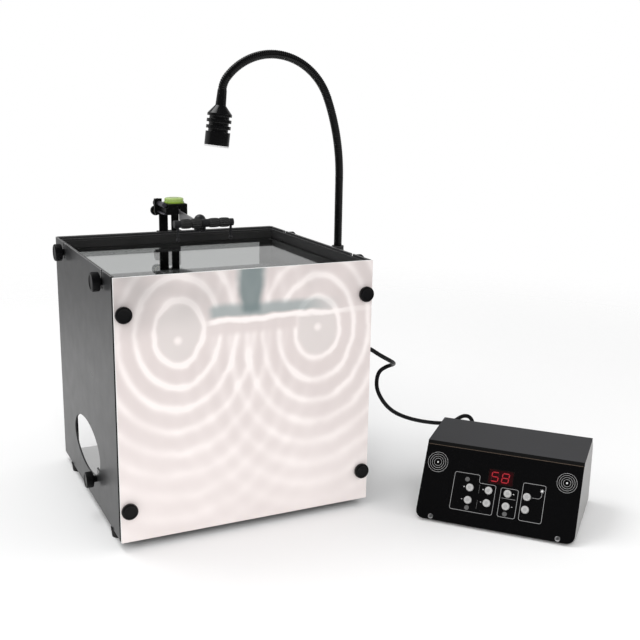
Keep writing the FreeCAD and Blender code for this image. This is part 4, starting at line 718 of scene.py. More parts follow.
class RIPPLE_OT_cord(PieceOperator):
    """Make the cord between tank and console, with its gland and its plug"""
    bl_idname = "ripple_tank.cord"
    bl_label = "Cord, gland and plug"

    def execute(self, context):
        look = settings(context, "cord")
        curve = bpy.data.curves.new("flexible_cord", "CURVE")
        curve.dimensions = "3D"
        curve.bevel_depth = look.diameter / 2
        curve.bevel_resolution = 4
        curve.resolution_u = 8
        curve.use_fill_caps = True
        spline = curve.splines.new("NURBS")
        spline.points.add(len(CORD_ROUTE) - 1)
        spots = np.hstack([np.array(CORD_ROUTE) * MM + TANK_CORNER, np.ones((len(CORD_ROUTE), 1))])
        spline.points.foreach_set("co", spots.ravel())
        spline.order_u = 3
        spline.use_endpoint_u = True
        curve.materials.append(finish("cord_sheath_rubber", look.sheath))
        cord = link("flexible_cord", curve)
        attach(cord, "housing")
        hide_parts("link_cord")
        gland = self.sleeve([(0, 0), (7, 0), (7, 3), (5, 3.2)], 5.0, 3.6, 12.0)
        plug = self.sleeve([(0, 0), (5.5, 0), (5.5, 11.4)], 5.5, 12.0, 20.0)
        seat = console_matrix() @ Vector((PLUG_PLACE[0], CONSOLE_DEPTH, PLUG_PLACE[1]))
        way = console_matrix().to_3x3() @ Vector((0, 1, 0))
        rubber = [finish("moulded_sleeve", look.sheath)]
        pieces = [add_piece(name + "_sleeve", [stand(shape, place, axis)], rubber, "housing",
                            ["cord_" + name])
                  for name, shape, place, axis in (("gland", gland, tank(*GLAND_PLACE), (1, 0, 0)),
                                                   ("plug", plug, seat, way))]
        return {"FINISHED"}

    def sleeve(self, start, wide, low, high):
        """A grip that goes on as a cone with four rings round it and ends at the cord: the radius
        falls evenly from wide to the sleeve's end, less the ring's depth times the positive part
        of -cos(4 turns * share of the way)."""
        rise = np.linspace(low, high, 33)
        share = (rise - low) / (high - low)
        rings = SLEEVE_RINGS * np.clip(-np.cos(8 * np.pi * share), 0, 1)
        body = np.column_stack([wide + (SLEEVE_END - wide) * share - rings, rise])
        foot = rounded(np.vstack([start, body[:1]]), 0.6)
        return lathe(np.vstack([foot, body[1:], [[0, high]]]), 32)


SILVER_TONES = ((0.88, 0.89, 0.89), (0.92, 0.93, 0.93))


class RIPPLE_OT_case(PieceOperator):
    """Give the case, the mirror, the rail and the feet their finishes"""
    bl_idname = "ripple_tank.case"
    bl_label = "Case, mirror and feet"

    def execute(self, context):
        look = settings(context, "case")
        dress(finish("case_satin_coat", look.paint, wear_width=look.wear_and_highlight),
              "side_panel_left", "side_panel_right", "rear_panel")
        dress(finish("rail_black_coat", look.tray, wear_width=look.wear_and_highlight),
              "rear_rail", "neck_bracket")
        dress(finish("inside_light_paint", look.inside), "mirror_bed")
        dress(finish("floor_zinc_satin"), "base_panel")
        dress(finish("foot_rubber"), "tank_feet", "console_feet")
        silver, wire, shader, spot = start_material("mirror_silver")
        haze = wire.noise(spot, 6.0)
        wire.fill(shader, Base_Color=wire.mix(haze, *map(rgba, SILVER_TONES)),
                  Roughness=wire.step(haze, 0.3, 0.8, 0.02, 0.05), Metallic=1.0)
        dress(silver, "mirror")
        return {"FINISHED"}


class RIPPLE_OT_screen(PieceOperator):
    """Put the wave picture on the screen"""
    bl_idname = "ripple_tank.screen"
    bl_label = "Screen"

    def execute(self, context):
        dress(screen_material(settings(context, "screen")), "screen")
        return {"FINISHED"}


# Each knob's stud length, start of its rim, radius, reach and depth of its face's dish, in
# millimetres from the wall that it stands on.
KNOB_SHAPES = {
    "screen": (5.0, 0.8, 9.0, 6.3, 0.35),
    "side": (5.4, 3.0, 10.5, 12.0, 0.6),
    "base": (6.0, 4.6, 9.5, 13.4, 0.6),
    "post": (10.5, 0.6, 7.5, 8.3, 0.6),
}


# Where each knob stands on its wall, in the tank's millimetres, and the way it points.
KNOBS = [("screen_knob_%s_%s" % (row, side), (x, 0.0, z), (0, -1, 0))
         for row, z in (("lower", 47.0), ("upper", CASE_TOP - 38.5))
         for side, x in (("left", 9.0), ("right", TANK_WIDTH - 9.0))]
KNOBS += [("side_knob_%s_%s" % (side, row), (x, y, CASE_TOP - 12.0), (way, 0, 0))
          for row, y in (("front", 48.6), ("rear", 245.0))
          for side, x, way in (("left", 0.0, -1), ("right", TANK_WIDTH, 1))]
KNOBS += [("base_knob", (0, 112, 42), (-1, 0, 0)), ("post_knob", (139.0, 296.5, 267.1), (-1, 0, 0))]


def knob_profile(stud, rim, radius, reach, dish):
    """A knob from its stud's tip outwards: stud, shank, fluted rim and a face with a shallow dish.
    The third column is 1 on the rim, where the flutes are."""
    shank = 4.0
    return rounded([
        (0, -stud, 0), (2.0, -stud, 0), (2.0, 0.3, 0), (shank, 0.3, 0), (shank, rim, 0),
        (radius - 0.9, rim, 0), (radius, rim + 0.9, 1), (radius, reach - 1.1, 1),
        (radius - 0.9, reach, 0.3), (radius * 0.74, reach, 0), (radius * 0.70, reach - dish, 0),
        (0, reach - dish, 0)], 0.45)


class RIPPLE_OT_knobs(PieceOperator):
    """Make the knobs of the screen, the tray, the case and the post"""
    bl_idname = "ripple_tank.knobs"
    bl_label = "Knobs"

    def execute(self, context):
        look = settings(context, "knob")
        plastic = finish("knob_moulded_plastic", look.plastic)
        for node, place, way in KNOBS:
            profile = knob_profile(*KNOB_SHAPES[node.split("_")[0]])
            shape = lathe(profile, 4 * look.flutes, look.flutes, look.flute_depth / MM)
            add_piece("fluted_" + node, [stand(shape, tank(*place), way)], [plastic], node,
                      [node])
        return {"FINISHED"}


class RIPPLE_OT_tray(PieceOperator):
    """Finish the tray, its glass and its beaches"""
    bl_idname = "ripple_tank.tray"
    bl_label = "Water tray"

    def execute(self, context):
        look = settings(context, "case")
        dress(finish("tray_black_coat", look.tray, wear_width=look.wear_and_highlight), "tray_frame")
        dress(glass_material("tray_float_glass", (0.90, 0.93, 0.92), 0.0), "tray_glass")
        dress(finish("beach_foam"), "beach_strips")
        return {"FINISHED"}


LEVEL_PLACE = (155.2, 287.0, 341.0)
# Metres from the level's middle: where the liquid turns lighter and the bubble ends, and the dark
# ring's radius, with the edges of its line.
LIQUID, BUBBLE = (0.003, 0.0115), (0.0028, 0.0034)
BUBBLE_RING, RING_WIDTH = 0.0048, (0.0002, 0.0005)
LIQUID_TONES = ((0.30, 0.42, 0.09), (0.42, 0.58, 0.17))
RING_TONE, BUBBLE_TONE = (0.02, 0.03, 0.01), (0.60, 0.72, 0.36)
UPPER_KNOB_PLACE = (138.0, 273.0, 339.5)
LOWER_KNOB_PLACE = (136.9, 269.0, 328.5)


class RIPPLE_OT_generator(PieceOperator):
    """Finish the post and the wave generator, and make its level and its two knobs"""
    bl_idname = "ripple_tank.generator"
    bl_label = "Post and wave generator"

    def execute(self, context):
        tray = settings(context, "case").tray
        dress(finish("generator_black_coat", [0.17 * c for c in tray]),
              "post", "post_guide", "generator_head")
        dress(finish("arm_aluminium"), "drive_arm")
        dress(finish("motor_plastic"), "vibrator_case")
        dress(finish("coil_copper_wire"), "vibrator_coil")
        self.level()
        self.head_knobs(settings(context, "knob"))
        return {"FINISHED"}

    def level(self):
        """The level's base and its dome; the liquid has a light bubble inside a dark ring."""
        vial, wire, shader, spot = start_material("level_liquid")
        middle = tank(*LEVEL_PLACE)
        x, y, _ = wire.parts(spot)
        across, back = wire.minus(x, middle[0]), wire.minus(y, middle[1])
        radius = wire.math("SQRT", wire.plus(wire.times(across, across), wire.times(back, back)))
        shade = wire.mix(wire.step(radius, *LIQUID), *map(rgba, LIQUID_TONES))
        circle = wire.math("ABSOLUTE", wire.minus(radius, BUBBLE_RING))
        shade = wire.mix(wire.step(circle, *RING_WIDTH, 1.0, 0.0), shade, rgba(RING_TONE))
        shade = wire.mix(wire.step(radius, *BUBBLE, 0.7, 0.0), shade, rgba(BUBBLE_TONE))
        wire.fill(shader, Base_Color=shade, Coat_Weight=0.3,
                  Roughness=wire.step(wire.noise(spot, 200.0), 0.3, 0.7, 0.08, 0.16))
        base = rounded([(0, 0), (13.4, 0), (13.4, 1.8), (12.5, 1.8), (12.5, 2.2), (0, 2.2)], 0.3)
        dome = rounded([(0, 1.9), (12.5, 1.9), (12.5, 6.0), (10.6, 6.7), (9.6, 6.1), (5.0, 6.9),
                        (0, 7.0)], 0.7)
        shapes = [stand(lathe(part, 64), middle, (0, 0, 1)) for part in (base, dome)]
        add_piece("round_level", shapes, [finish("level_rim"), vial], "generator",
                  ["bubble_level"])

    def head_knobs(self, look):
        """Both knobs point to the back: a shank or a rod with a boss, and a fluted disc."""
        plastic = finish("knob_moulded_plastic", look.plastic)
        depth = look.flute_depth / MM * 1.4
        shank = rounded([(0, 0), (3.3, 0), (3.3, 30.35), (0, 30.35)], 0.4)
        rim = rounded([(0, 30.3, 0), (4.6, 30.3, 0), (6.0, 31.2, 1), (6.0, 34.8, 1),
                       (5.2, 35.7, 0), (0, 35.7, 0)], 0.4)
        upper = [lathe(shank, 32), lathe(rim, 96, 24, depth)]
        rod = [(0, 0), (1.2, 0), (1.2, 34.3), (0, 34.3)]
        boss = rounded([(0, 34.3, 0), (4.1, 34.3, 1), (4.1, 40.0, 1), (0, 40.0, 0)], 0.5)
        rim = rounded([(0, 40.0, 0), (6.0, 40.0, 0), (6.8, 40.9, 1), (6.8, 45.1, 1),
                       (6.0, 46.0, 0), (0, 46.0, 0)], 0.4)
        lower = [lathe(rod, 16), lathe(boss, 64, 16, 0.3), lathe(rim, 112, 28, depth)]
        grey, brass = finish("shank_lilac_grey"), finish("boss_brass")
        for side, place, parts, materials in (
                ("upper", UPPER_KNOB_PLACE, upper, [grey, plastic]),
                ("lower", LOWER_KNOB_PLACE, lower, [grey, brass, plastic])):
            add_piece(side + "_head_knob", [stand(part, tank(*place), (0, 1, 0)) for part in parts],
                      materials, "head_knob_" + side, ["head_knob_" + side])


# Both ends of each collar on the dipper bar, in the tank's millimetres along x.
COLLARS = ((125.9, 138.55), (138.85, 151.5), (161.3, 174.35), (174.65, 187.7))
BAR_HEIGHT, BAR_BACK = 329.3, 167.0


class RIPPLE_OT_dippers(PieceOperator):
    """Make the fluted collars and finish the bar and the dippers"""
    bl_idname = "ripple_tank.dippers"
    bl_label = "Dipper bar"

    def execute(self, context):
        look = settings(context, "dipper")
        shapes = []
        for number, (start, end) in enumerate(COLLARS):
            long = end - start
            loop = rounded([
                (3.05, 0.1, 0), (4.6, 0, 0.2), (5.6, 0.8, 0.6), (6.0, 0.3 * long, 1),
                (6.0, 0.7 * long, 1), (5.6, long - 0.8, 0.6), (4.6, long, 0.2),
                (3.05, long - 0.1, 0)], 0.6)
            ring = lathe(loop, 7 * look.flutes, look.flutes, look.flute_depth / MM, loop=True)
            shapes.append(stand(ring, tank(start, BAR_BACK, BAR_HEIGHT), (1, 0, 0), 0.7 * number))
        add_piece("fluted_collars", shapes, [finish("collar_rubber", look.rubber)], "dipper",
                  ["dipper_collars"])
        dress(finish("bar_black_satin"), "dipper_bar", "dippers")
        return {"FINISHED"}


# ---- gooseneck and lamp

NECK_ROOT = (312.5, 113.5, 303.0)
# Each run of the neck's middle line is (radius, turn to the left in degrees); radius 0 is straight
# and its second number is then a length.
NECK_RUNS = {
    "neck_lower": [(0.0, 82.5)],
    "neck_middle": [(259.0, 21.6)],
    "neck_upper": [(77.0, 62.9), (73.5, 54.9)],
    "stub": [(28.6, 33.8)],
}
CUP_GAP = 0.3
# Points round the neck, rings of a ball or cup, and how far round a ball goes (degrees).
NECK_AROUND, CUP_ROWS, BALL_REACH = 40, 7, 78.0
LAMP_RADIUS, GROOVE_RADIUS, GROOVE_WIDTH = 14.2, 11.5, 3.2
GROOVES = (29.9, 37.05, 44.2)  # where each groove starts, from the stub's end


def heading(angle):
    """Unit vectors in the lamp's plane that lean left from straight up by angle (radians)."""
    angle = np.asarray(angle, float)
    return np.stack([-np.sin(angle), np.zeros_like(angle), np.cos(angle)], axis=-1)


def spokes(lean, angle):
    """Unit vectors square to the heading, at each angle round it."""
    side = heading(np.asarray(lean) + np.pi / 2)[..., None, :]
    return np.cos(angle)[:, None] * side + np.sin(angle)[:, None] * np.array([0.0, -1.0, 0.0])


def follow(start, lean, runs, step):
    """Points along straight runs and arcs: on an arc of radius R the point is centre minus R times
    the heading turned a quarter left. Returns points, headings' angles and lengths run so far."""
    spots, leans, lengths = [], [], []
    so_far = 0.0
    for radius, measure in runs:
        turn = 0.0 if radius == 0 else math.radians(measure)
        run = measure if radius == 0 else radius * turn
        s = np.linspace(0.0, run, max(2, int(round(run / step)) + 1))
        angle = lean + (s / radius if radius else 0.0 * s)
        if radius:
            centre = start + radius * heading(lean + np.pi / 2)
            points = centre - radius * heading(angle + np.pi / 2)
        else:
            points = start + s[:, None] * heading(lean)
        keep = slice(1 if spots else 0, None)
        spots.append(points[keep])
        leans.append(angle[keep])
        lengths.append(s[keep] + so_far)
        start, lean, so_far = points[-1], lean + turn, so_far + run
    return np.vstack(spots), np.concatenate(leans), np.concatenate(lengths), start, lean


def neck_tube(start, lean, runs, look, open_end):
    """A helically ribbed tube: round each point of the middle line the radius is the outer radius
    less rib_depth * (1 - |sin(pi * (length / rib_step + angle / turn))|). It starts with a ball.
    Where open_end is set, it ends in a cup that clears the next tube's ball by the gap."""
    radius, step, depth = look.radius / MM, look.rib_step / MM, look.rib_depth / MM
    spots, leans, lengths, end, end_lean = follow(np.asarray(start, float), lean, runs, step / 6)
    total = lengths[-1]
    rim = math.sqrt((radius + CUP_GAP) ** 2 - radius ** 2) if open_end else 0.0
    inside = lengths <= total - rim
    spots, leans, lengths = spots[inside], leans[inside], lengths[inside]
    angle = whole_turn(NECK_AROUND)

    def ball(centre, size, bend, lean):
        """Rings of a ball, each at its bend (radians) from the point behind the centre."""
        bend = bend[:, None, None]
        return centre + size * (np.sin(bend) * spokes(lean, angle) - np.cos(bend) * heading(lean))

    wave = np.abs(np.sin(np.pi * (lengths[:, None] / step + angle / (2 * np.pi))))
    settle = np.clip(np.minimum(lengths, total - rim - lengths), 0, 1)[:, None]
    reach = radius - depth * (1 - wave) * settle
    bends = np.radians(np.linspace(0, BALL_REACH, CUP_ROWS))
    rows = [ball(spots[0], radius, bends, leans[0]),
            spots[:, None] + reach[..., None] * spokes(leans, angle)]
    if open_end:
        wide = radius + CUP_GAP
        bends = np.linspace(math.asin(radius / wide), 0, CUP_ROWS)[1:]
        rows.append(ball(end, wide, bends, end_lean))
    else:
        rows.append(np.broadcast_to(spots[-1], (1, len(angle), 3)))
    points, faces = skin(np.vstack(rows), True, True)
    return (points * MM + TANK_CORNER, faces), end, end_lean


class RIPPLE_OT_neck(PieceOperator):
    """Make the ribbed gooseneck, the finned lamp head on it, its bezel and its lens"""
    bl_idname = "ripple_tank.neck"
    bl_label = "Gooseneck and lamp"

    def execute(self, context):
        look = settings(context, "neck")
        ribbed = finish("neck_ribbed_metal", look.metal)
        spot, lean = np.array(NECK_ROOT), 0.0
        for node in ("neck_lower", "neck_middle", "neck_upper"):
            tube, spot, lean = neck_tube(spot, lean, NECK_RUNS[node], look, True)
            add_piece("ribbed_" + node, [tube], [ribbed], node, [node], smooth=60.0)
        stub, spot, lean = neck_tube(spot, lean, NECK_RUNS["stub"], look, False)
        place, way = spot * MM + TANK_CORNER, heading(lean)
        outer, inner = LAMP_RADIUS, GROOVE_RADIUS
        corners = [(0, 0), (5.3, 0), (6.1, 17.5), (outer, 27.1)]
        for low in GROOVES:
            high = low + GROOVE_WIDTH
            corners += [(outer, low), (inner, low), (inner, high), (outer, high)]
        corners += [(outer, 62.7), (11.0, 62.7), (4.5, 55.7), (0, 55.7)]
        head = stand(lathe(rounded(corners, 0.45), 72), place, way)
        add_piece("finned_lamp", [stub, head], [ribbed, finish("lamp_anodised_black", look.metal)],
                  "lamp", ["lamp_head"])
        loop = rounded([(12.0, 63.6), (12.0, 62.7), (outer, 62.7), (outer, 64.5), (12.0, 64.5),
                        (12.0, 63.6)], 0.35)
        add_piece("bright_bezel", [stand(lathe(loop[:-1], 72, loop=True), place, way)],
                  [finish("bezel_bright_metal")], "lamp", ["lamp_bezel"])
        dress(glass_material("lens_frosted", (0.96, 0.96, 0.95), 0.35), "lamp_lens")
        return {"FINISHED"}


# ---- control console

class RIPPLE_OT_console(PieceOperator):
    """Finish the console's case, cover, panel, board, display and lamps"""
    bl_idname = "ripple_tank.console"
    bl_label = "Console"

    def execute(self, context):
        look = settings(context, "console")
        dress(finish("console_light_coat", look.case), "console_case")
        dress(finish("console_cover_coat", look.cover), "console_top")
        dress(finish("panel_gloss_black", look.panel), "front_panel")
        dress(finish("board_green_mask"), "circuit_board")
        dress(finish("display_dark_red"), "display")
        dress(finish("indicator_lens"), "indicator_leds")
        return {"FINISHED"}


def ribbon(path, width, closed=False, high=0.05):
    """A flat raised line: a low rectangle carried along a path on the panel. At each path point the
    side direction is the mean of its two runs' normals, lengthened so that the width stays true."""
    path = np.asarray(path, float)
    if closed:
        before, after = path - np.roll(path, 1, axis=0), np.roll(path, -1, axis=0) - path
    else:
        runs = np.diff(path, axis=0)
        before, after = np.vstack([runs[:1], runs]), np.vstack([runs, runs[-1:]])
    before /= np.linalg.norm(before, axis=1, keepdims=True)
    after /= np.linalg.norm(after, axis=1, keepdims=True)
    normal = np.stack([-(before + after)[:, 1], (before + after)[:, 0]], axis=1)
    normal /= np.linalg.norm(normal, axis=1, keepdims=True)
    cosine = normal[:, 0] * -before[:, 1] + normal[:, 1] * before[:, 0]
    side = normal * (width / 2) / np.maximum(cosine, 0.3)[:, None]
    corners = [(1, PRINT_FOOT), (-1, PRINT_FOOT), (-1, high), (1, high)]
    rings = np.stack([np.column_stack([path + sign * side, np.full(len(path), level)])
                      for sign, level in corners], axis=1)
    if closed:
        return skin(rings[::-1], loop=True)
    points, faces = skin(rings[::-1])
    last = len(points)
    return points, faces + [[3, 2, 1, 0], [last - 4, last - 3, last - 2, last - 1]]


def rounded_loop(corners, reach):
    """A closed outline with every corner rounded."""
    corners = np.asarray(corners, float)
    wrapped = np.vstack([corners[-1:], corners, corners[:1]])
    return rounded(wrapped, reach, 7)[1:-1]


def circle(middle, radius):
    """A closed path of equal steps round its middle, at the radius from it."""
    return turned(radius, 0.0, whole_turn(64))[:, :2] + np.array(middle)


def disc(middle, radius, high):
    """A flat disc with a rounded rim."""
    low = PRINT_FOOT
    points, faces = lathe(rounded([(0, low), (radius, low), (radius, high), (0, high)], 0.04), 32)
    return points + np.array([middle[0], middle[1], 0.0]), faces


PRINT_FOOT = -0.02  # the print's underside, millimetres out of the panel
# Places on the sloped panel: millimetres to the right and up the slope.
BUTTON_COLUMNS = (58.525, 80.675, 102.825, 124.975)
BUTTON_ROWS = (44.3, 29.6)
INDICATORS = ((54.125, 53.6), (58.525, 20.8), (102.825, 20.8), (140.975, 53.6))
ORNAMENTS = (((15.9, 68.3), 11.9), ((166.9, 67.5), 11.2))
GROUP_OUTLINES = (
    [(38.6, 60.6), (68.4, 60.6), (68.4, 51.4), (88.4, 51.4), (88.4, 16.6), (38.6, 16.6)],
    [(94.6, 50.4), (114.6, 50.4), (114.6, 17.0), (94.6, 17.0)],
    [(119.0, 60.2), (144.7, 60.2), (144.7, 16.8), (119.0, 16.8)],
)
# Each sign's place, and whether it is a plus.
SIGNS = ((51.6, 44.6, True), (74.2, 44.6, True), (109.6, 44.6, True),
         (51.2, 29.9, False), (73.6, 29.9, False), (109.6, 29.9, False))
# Each digit's middle and the bars that are lit; both stand at one height up the slope.
DIGITS = ((85.4, "afgcd"), (97.6, "abcdefg"))
DIGIT_HEIGHT = 61.6
DIGIT_WIDE, DIGIT_TALL, BAR_THICK, DIGIT_LEAN = 7.6, 10.6, 1.15, 0.09
BAR_GAP = 0.3
DIGIT_LEVELS = (-0.45, -0.3)
DIGIT_REDS = ((0.33, 0.006, 0.014), (0.46, 0.014, 0.028))


class RIPPLE_OT_print(PieceOperator):
    """Print the console's lines, rings and signs, and light the display's digits"""
    bl_idname = "ripple_tank.print"
    bl_label = "Panel print and digits"

    def execute(self, context):
        width = settings(context, "console").line_width / MM
        lines = [ribbon(rounded_loop(outline, 2.6), width, True) for outline in GROUP_OUTLINES]
        lines.append(ribbon([(96.6, 38.6), (112.6, 38.6)], width * 0.7))
        t = np.linspace(0, np.pi / 2, 9)
        elbow = np.column_stack([137.0 + 4.0 * np.sin(t), 44.3 + 4.0 * (1 - np.cos(t))])
        lines.append(ribbon(np.vstack([[(130.2, 44.3)], elbow, [(141.0, 51.6)]]), width * 0.8))
        self.add("printed_lines", lines, finish("print_light_grey"))
        rings = [ribbon(circle(middle, size * part), 0.3, True)
                 for middle, size in ORNAMENTS for part in (0.37, 0.58, 0.79, 1.0)]
        self.add("printed_rings", rings, finish("print_bright_grey"))
        # A painted highlight: a thin tan line where the panel's top edge catches the light.
        self.add("panel_top_highlight", [ribbon([(1.2, 89.0), (CONSOLE_WIDTH - 1.2, 89.0)], 0.55)],
                 finish("panel_edge_highlight"))
        dashes = [low + 2.1 * dash for low in (21.5, 39.5) for dash in range(5)]
        faint = [ribbon([(69.6, low), (69.6, low + 1.5)], width * 0.8) for low in dashes]
        faint += [disc(spot, 2.7, 0.06) for spot in INDICATORS[:3]]
        self.add("printed_faint_marks", faint, finish("print_dim_grey"))
        signs = [disc(middle, 1.05, 0.08) for middle, _ in ORNAMENTS]
        for u, v, plus in SIGNS:
            signs.append(ribbon([(u - 0.8, v), (u + 0.8, v)], 0.4))
            if plus:
                signs.append(ribbon([(u, v + 0.8), (u, v - 0.8)], 0.4, high=0.055))
        sun = np.array(INDICATORS[3])
        signs.append(disc(sun, 1.25, 0.09))
        for turn in np.arange(8) * np.pi / 4:
            way = np.array([np.cos(turn), np.sin(turn)])
            signs.append(ribbon([sun + 1.6 * way, sun + 2.4 * way], 0.22))
        self.add("printed_signs", signs, finish("print_white"))
        self.digits()
        return {"FINISHED"}

    def add(self, name, shapes, material, slot="button_light"):
        add_piece(name, on_panel(shapes), [material], "housing", smooth=20.0)

    def digits(self):
        lit, wire, shader, spot = start_material("digit_lit_red")
        red = wire.mix(wire.noise(spot, 500.0, 2.0), *map(rgba, DIGIT_REDS))
        wire.fill(shader, Base_Color=red, Emission_Color=red, Emission_Strength=0.12, Roughness=0.4)
        on, off = [], []
        for middle, bars in DIGITS:
            for bar, shape in self.segments(middle).items():
                (on if bar in bars else off).append(shape)
        self.add("lit_digit_bars", on, lit, "display_red")
        self.add("unlit_digit_bars", off, finish("digit_unlit_red"), "display_red")

    def segments(self, middle):
        """The seven bars of a digit: each is a flat hexagon between two corners of the figure."""
        half, tall = DIGIT_WIDE / 2, DIGIT_TALL / 2
        corner = {"tl": (-half, tall), "tr": (half, tall), "ml": (-half, 0), "mr": (half, 0),
                  "bl": (-half, -tall), "br": (half, -tall)}
        pairs = {"a": ("tl", "tr"), "b": ("mr", "tr"), "c": ("br", "mr"), "d": ("bl", "br"),
                 "e": ("bl", "ml"), "f": ("ml", "tl"), "g": ("ml", "mr")}
        bars = {}
        for name, (start, end) in pairs.items():
            one, two = np.array(corner[start], float), np.array(corner[end], float)
            way = (two - one) / np.linalg.norm(two - one)
            side = np.array([way[1], -way[0]]) * BAR_THICK / 2
            gap, point = way * BAR_GAP, way * (BAR_GAP + BAR_THICK / 2)
            flat = np.array([one + gap, one + point + side, two - point + side, two - gap,
                             two - point - side, one + point - side])
            flat[:, 0] += DIGIT_LEAN * flat[:, 1] + middle
            flat[:, 1] += DIGIT_HEIGHT
            low, high = (np.column_stack([flat, np.full(6, level)]) for level in DIGIT_LEVELS)
            bars[name] = skin(np.stack([low, low, high, high]), True, True)
        return bars


class RIPPLE_OT_buttons(PieceOperator):
    """Make the eight buttons with a small ring in the middle of each"""
    bl_idname = "ripple_tank.buttons"
    bl_label = "Buttons"

    def execute(self, context):
        cap = rounded([(0, -3.8), (5.6, -3.8), (5.6, -2.3), (4.4, -2.3), (4.4, 1.7), (4.0, 2.4),
                       (3.3, 2.5), (3.0, 2.35), (0, 2.35)], 0.25)
        mark = rounded([(0, 2.3), (2.0, 2.3), (2.0, 2.45), (1.5, 2.48), (1.35, 2.36), (0, 2.36)],
                       0.08)
        places = [(column, row) for row in BUTTON_ROWS for column in BUTTON_COLUMNS]
        for number, place in enumerate(places, 1):
            node = "button_%d" % number
            add_piece("push_" + node, on_panel([lathe(cap, 48), lathe(mark, 32)], *place),
                      [finish("button_silver_white"), finish("button_ring_grey")], node,
                      [node])
        return {"FINISHED"}


SCREW_COLUMNS, SCREW_BACK, SCREW_ROWS = (10.0, TANK_WIDTH - 10.0), 297.0, (135.0, 195.0, 290.0)
PANEL_SCREWS, PANEL_SCREW_UP = (18.5, CONSOLE_WIDTH - 18.5), 3.8
SCREW_HEAD, SCREW_FLAT, SCREW_WALL, RECESS_DEPTH = 3.0, 2.0, 0.8, 1.1


class RIPPLE_OT_screws(PieceOperator):
    """Make the cross-recessed screw heads of the case and the console"""
    bl_idname = "ripple_tank.screws"
    bl_label = "Screws"

    def execute(self, context):
        head = self.head()
        shapes = [stand(head, tank(x, SCREW_BACK, z), (0, 1, 0), 0.4 + 0.01 * z)
                  for x in SCREW_COLUMNS for z in SCREW_ROWS]
        for number, across in enumerate(PANEL_SCREWS):
            shapes += on_panel([head], across, PANEL_SCREW_UP, 0.35 + 0.6 * number)
        add_piece("cross_recess_screws", shapes, [finish("screw_zinc")], "housing",
                  ["case_screws"])
        return {"FINISHED"}

    def head(self):
        """A pan head on a grid of radius and angle: the height is a flattened dome, less the
        recess where the point lies within the arms of a cross."""
        angle = whole_turn(64)
        radius = np.linspace(2.9, 0.0, 22)[:, None]
        x, y = radius * np.cos(angle), radius * np.sin(angle)
        dome = SCREW_FLAT - 0.9 * (radius / SCREW_HEAD) ** 4
        arm = np.minimum(np.abs(x), np.abs(y))
        cross = np.clip((0.5 - arm) / 0.15, 0, 1) * np.clip((1.8 - radius) / 0.25, 0, 1)
        edge = [[0.0, 0.0], [SCREW_HEAD, 0.0], [SCREW_HEAD, SCREW_WALL]]
        out, up = np.array(edge).T[..., None]
        skirt, top = turned(out, up, angle), turned(radius, dome - RECESS_DEPTH * cross, angle)
        return skin(np.concatenate([skirt, top]), True, True)


# ---- stage

LAMP_TARGET = Vector((-0.02, 0.05, 0.2))
# Each soft lamp: name, place, size and power, and whether reflections show it.
LAMPS = (
    ("key_softbox", (-0.9, -2.2, 1.5), 1.3, 19.0, False),
    ("left_softbox", (-1.9, -0.5, 1.5), 1.3, 7.0, False),
    ("right_softbox", (1.7, -0.9, 1.3), 1.1, 3.5, True),
    ("top_softbox", (-0.7, 0.9, 2.3), 1.3, 20.0, True),
)
WALL_SHINE, CEILING_SHINE, SOFT_LEVEL = 0.42, 0.08, 0.66
FADE_START, FADE_END = 0.55, 0.75  # metres, and a share of the floor's radius


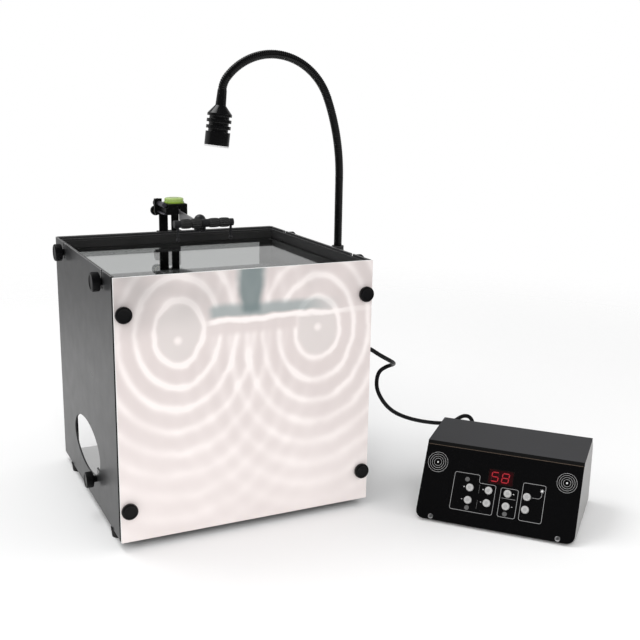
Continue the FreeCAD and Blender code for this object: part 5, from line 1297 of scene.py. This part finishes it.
class RIPPLE_OT_stage(PieceOperator):
    """Lay the floor, set the background and hang the soft lamps"""
    bl_idname = "ripple_tank.stage"
    bl_label = "Stage"

    def execute(self, context):
        self.floor(settings(context, "stage"))
        self.background(context)
        for name, place, size, power, mirrored in LAMPS:
            data = bpy.data.lights.new(name, "AREA")
            data.shape, data.size, data.energy = "SQUARE", size, power
            lamp = link(name, data)
            lamp.visible_glossy = mirrored
            lamp.location = place
            lamp.rotation_euler = (LAMP_TARGET - Vector(place)).to_track_quat("-Z", "Y").to_euler()
        return {"FINISHED"}

    def floor(self, look):
        """A round floor on rings about its middle, which fades into the background at its rim."""
        radius = np.concatenate([[0.0], np.linspace(0.1, look.floor_radius, 24)])[:, None]
        angle = whole_turn(64)
        points, faces = skin(turned(radius, 0.0, angle)[::-1], False, True)
        mesh = bpy.data.meshes.new("floor")
        mesh.from_pydata(points.tolist(), [], faces)
        material, wire, shader, spot = start_material("floor_pale")
        tone = wire.mix(wire.noise(spot, 3.0, 2.0), rgba(look.floor),
                        rgba([0.995 * c for c in look.floor]))
        wire.fill(shader, Base_Color=tone, Roughness=0.9, Specular_IOR_Level=0.0)
        clear = wire.node("ShaderNodeBsdfTransparent")
        blend = wire.node("ShaderNodeMixShader")
        away = wire.step(wire.vector("LENGTH", spot), FADE_START, look.floor_radius * FADE_END)
        for socket, value in enumerate((away, shader.outputs[0], clear.outputs[0])):
            wire.feed(blend.inputs[socket], value)
        leave = next(n for n in wire.tree.nodes if n.type == "OUTPUT_MATERIAL")
        wire.feed(leave.inputs["Surface"], blend.outputs[0])
        mesh.materials.append(material)
        link("floor", mesh)

    def background(self, context):
        """White for the camera. Reflections and glass see a white wall low down behind the object
        and a dark ceiling; an even grey level lights the object."""
        world = bpy.data.worlds.new("studio")
        world.use_nodes = True
        world.node_tree.nodes.clear()
        wire = Wiring(world.node_tree)
        path = wire.node("ShaderNodeLightPath").outputs
        seen = path["Is Camera Ray"]
        mirrored = wire.math("MAXIMUM", path["Is Glossy Ray"], path["Is Transmission Ray"])
        way = wire.parts(wire.node("ShaderNodeTexCoord").outputs["Generated"])
        wall = wire.times(wire.step(way[1], -0.1, 0.45), wire.step(way[2], 0.35, 0.75, 1.0, 0.0))
        shine = wire.times(mirrored, wire.plus(CEILING_SHINE, wire.times(wall, WALL_SHINE)))
        soft = wire.times(wire.minus(1.0, wire.math("MAXIMUM", seen, mirrored)), SOFT_LEVEL)
        glow = wire.node("ShaderNodeBackground")
        wire.fill(glow, Color=rgba(1.0), Strength=wire.plus(wire.plus(shine, soft), seen))
        wire.feed(wire.node("ShaderNodeOutputWorld").inputs["Surface"], glow.outputs[0])
        context.scene.world = world


# ---- add-on

OPERATORS = (
    RIPPLE_OT_shared, RIPPLE_OT_camera, RIPPLE_OT_cord, RIPPLE_OT_case, RIPPLE_OT_screen,
    RIPPLE_OT_knobs, RIPPLE_OT_tray, RIPPLE_OT_generator, RIPPLE_OT_dippers, RIPPLE_OT_neck,
    RIPPLE_OT_console, RIPPLE_OT_print, RIPPLE_OT_buttons, RIPPLE_OT_screws, RIPPLE_OT_stage,
)
SETTINGS = {
    "case": CaseSettings, "screen": ScreenSettings, "knob": KnobSettings, "neck": NeckSettings,
    "dipper": DipperSettings, "console": ConsoleSettings, "cord": CordSettings,
    "stage": StageSettings,
}


class RIPPLE_PT_sidebar(bpy.types.Panel):
    """Lists the steps that build the ripple tank, in order, and their settings"""
    bl_idname = "RIPPLE_PT_sidebar"
    bl_label = "Ripple Tank"
    bl_space_type = "VIEW_3D"
    bl_region_type = "UI"
    bl_category = "Ripple Tank"

    def draw(self, context):
        layout = self.layout
        for operator in OPERATORS:
            layout.operator(operator.bl_idname)
        for name, kind in SETTINGS.items():
            box = layout.box()
            box.label(text=name.capitalize())
            for label in kind.__annotations__:
                box.prop(settings(context, name), label)


def register():
    for kind in (*SETTINGS.values(), *OPERATORS, RIPPLE_PT_sidebar):
        bpy.utils.register_class(kind)
    for name, kind in SETTINGS.items():
        setattr(bpy.types.Scene, "ripple_tank_" + name, PointerProperty(type=kind))


def unregister():
    for name in SETTINGS:
        delattr(bpy.types.Scene, "ripple_tank_" + name)
    for kind in reversed((*SETTINGS.values(), *OPERATORS, RIPPLE_PT_sidebar)):
        bpy.utils.unregister_class(kind)


def main():
    register()
    for operator in OPERATORS:
        step = operator.bl_idname.split(".")[1]
        getattr(bpy.ops.ripple_tank, step)()


if __name__ == "__main__":
    main()
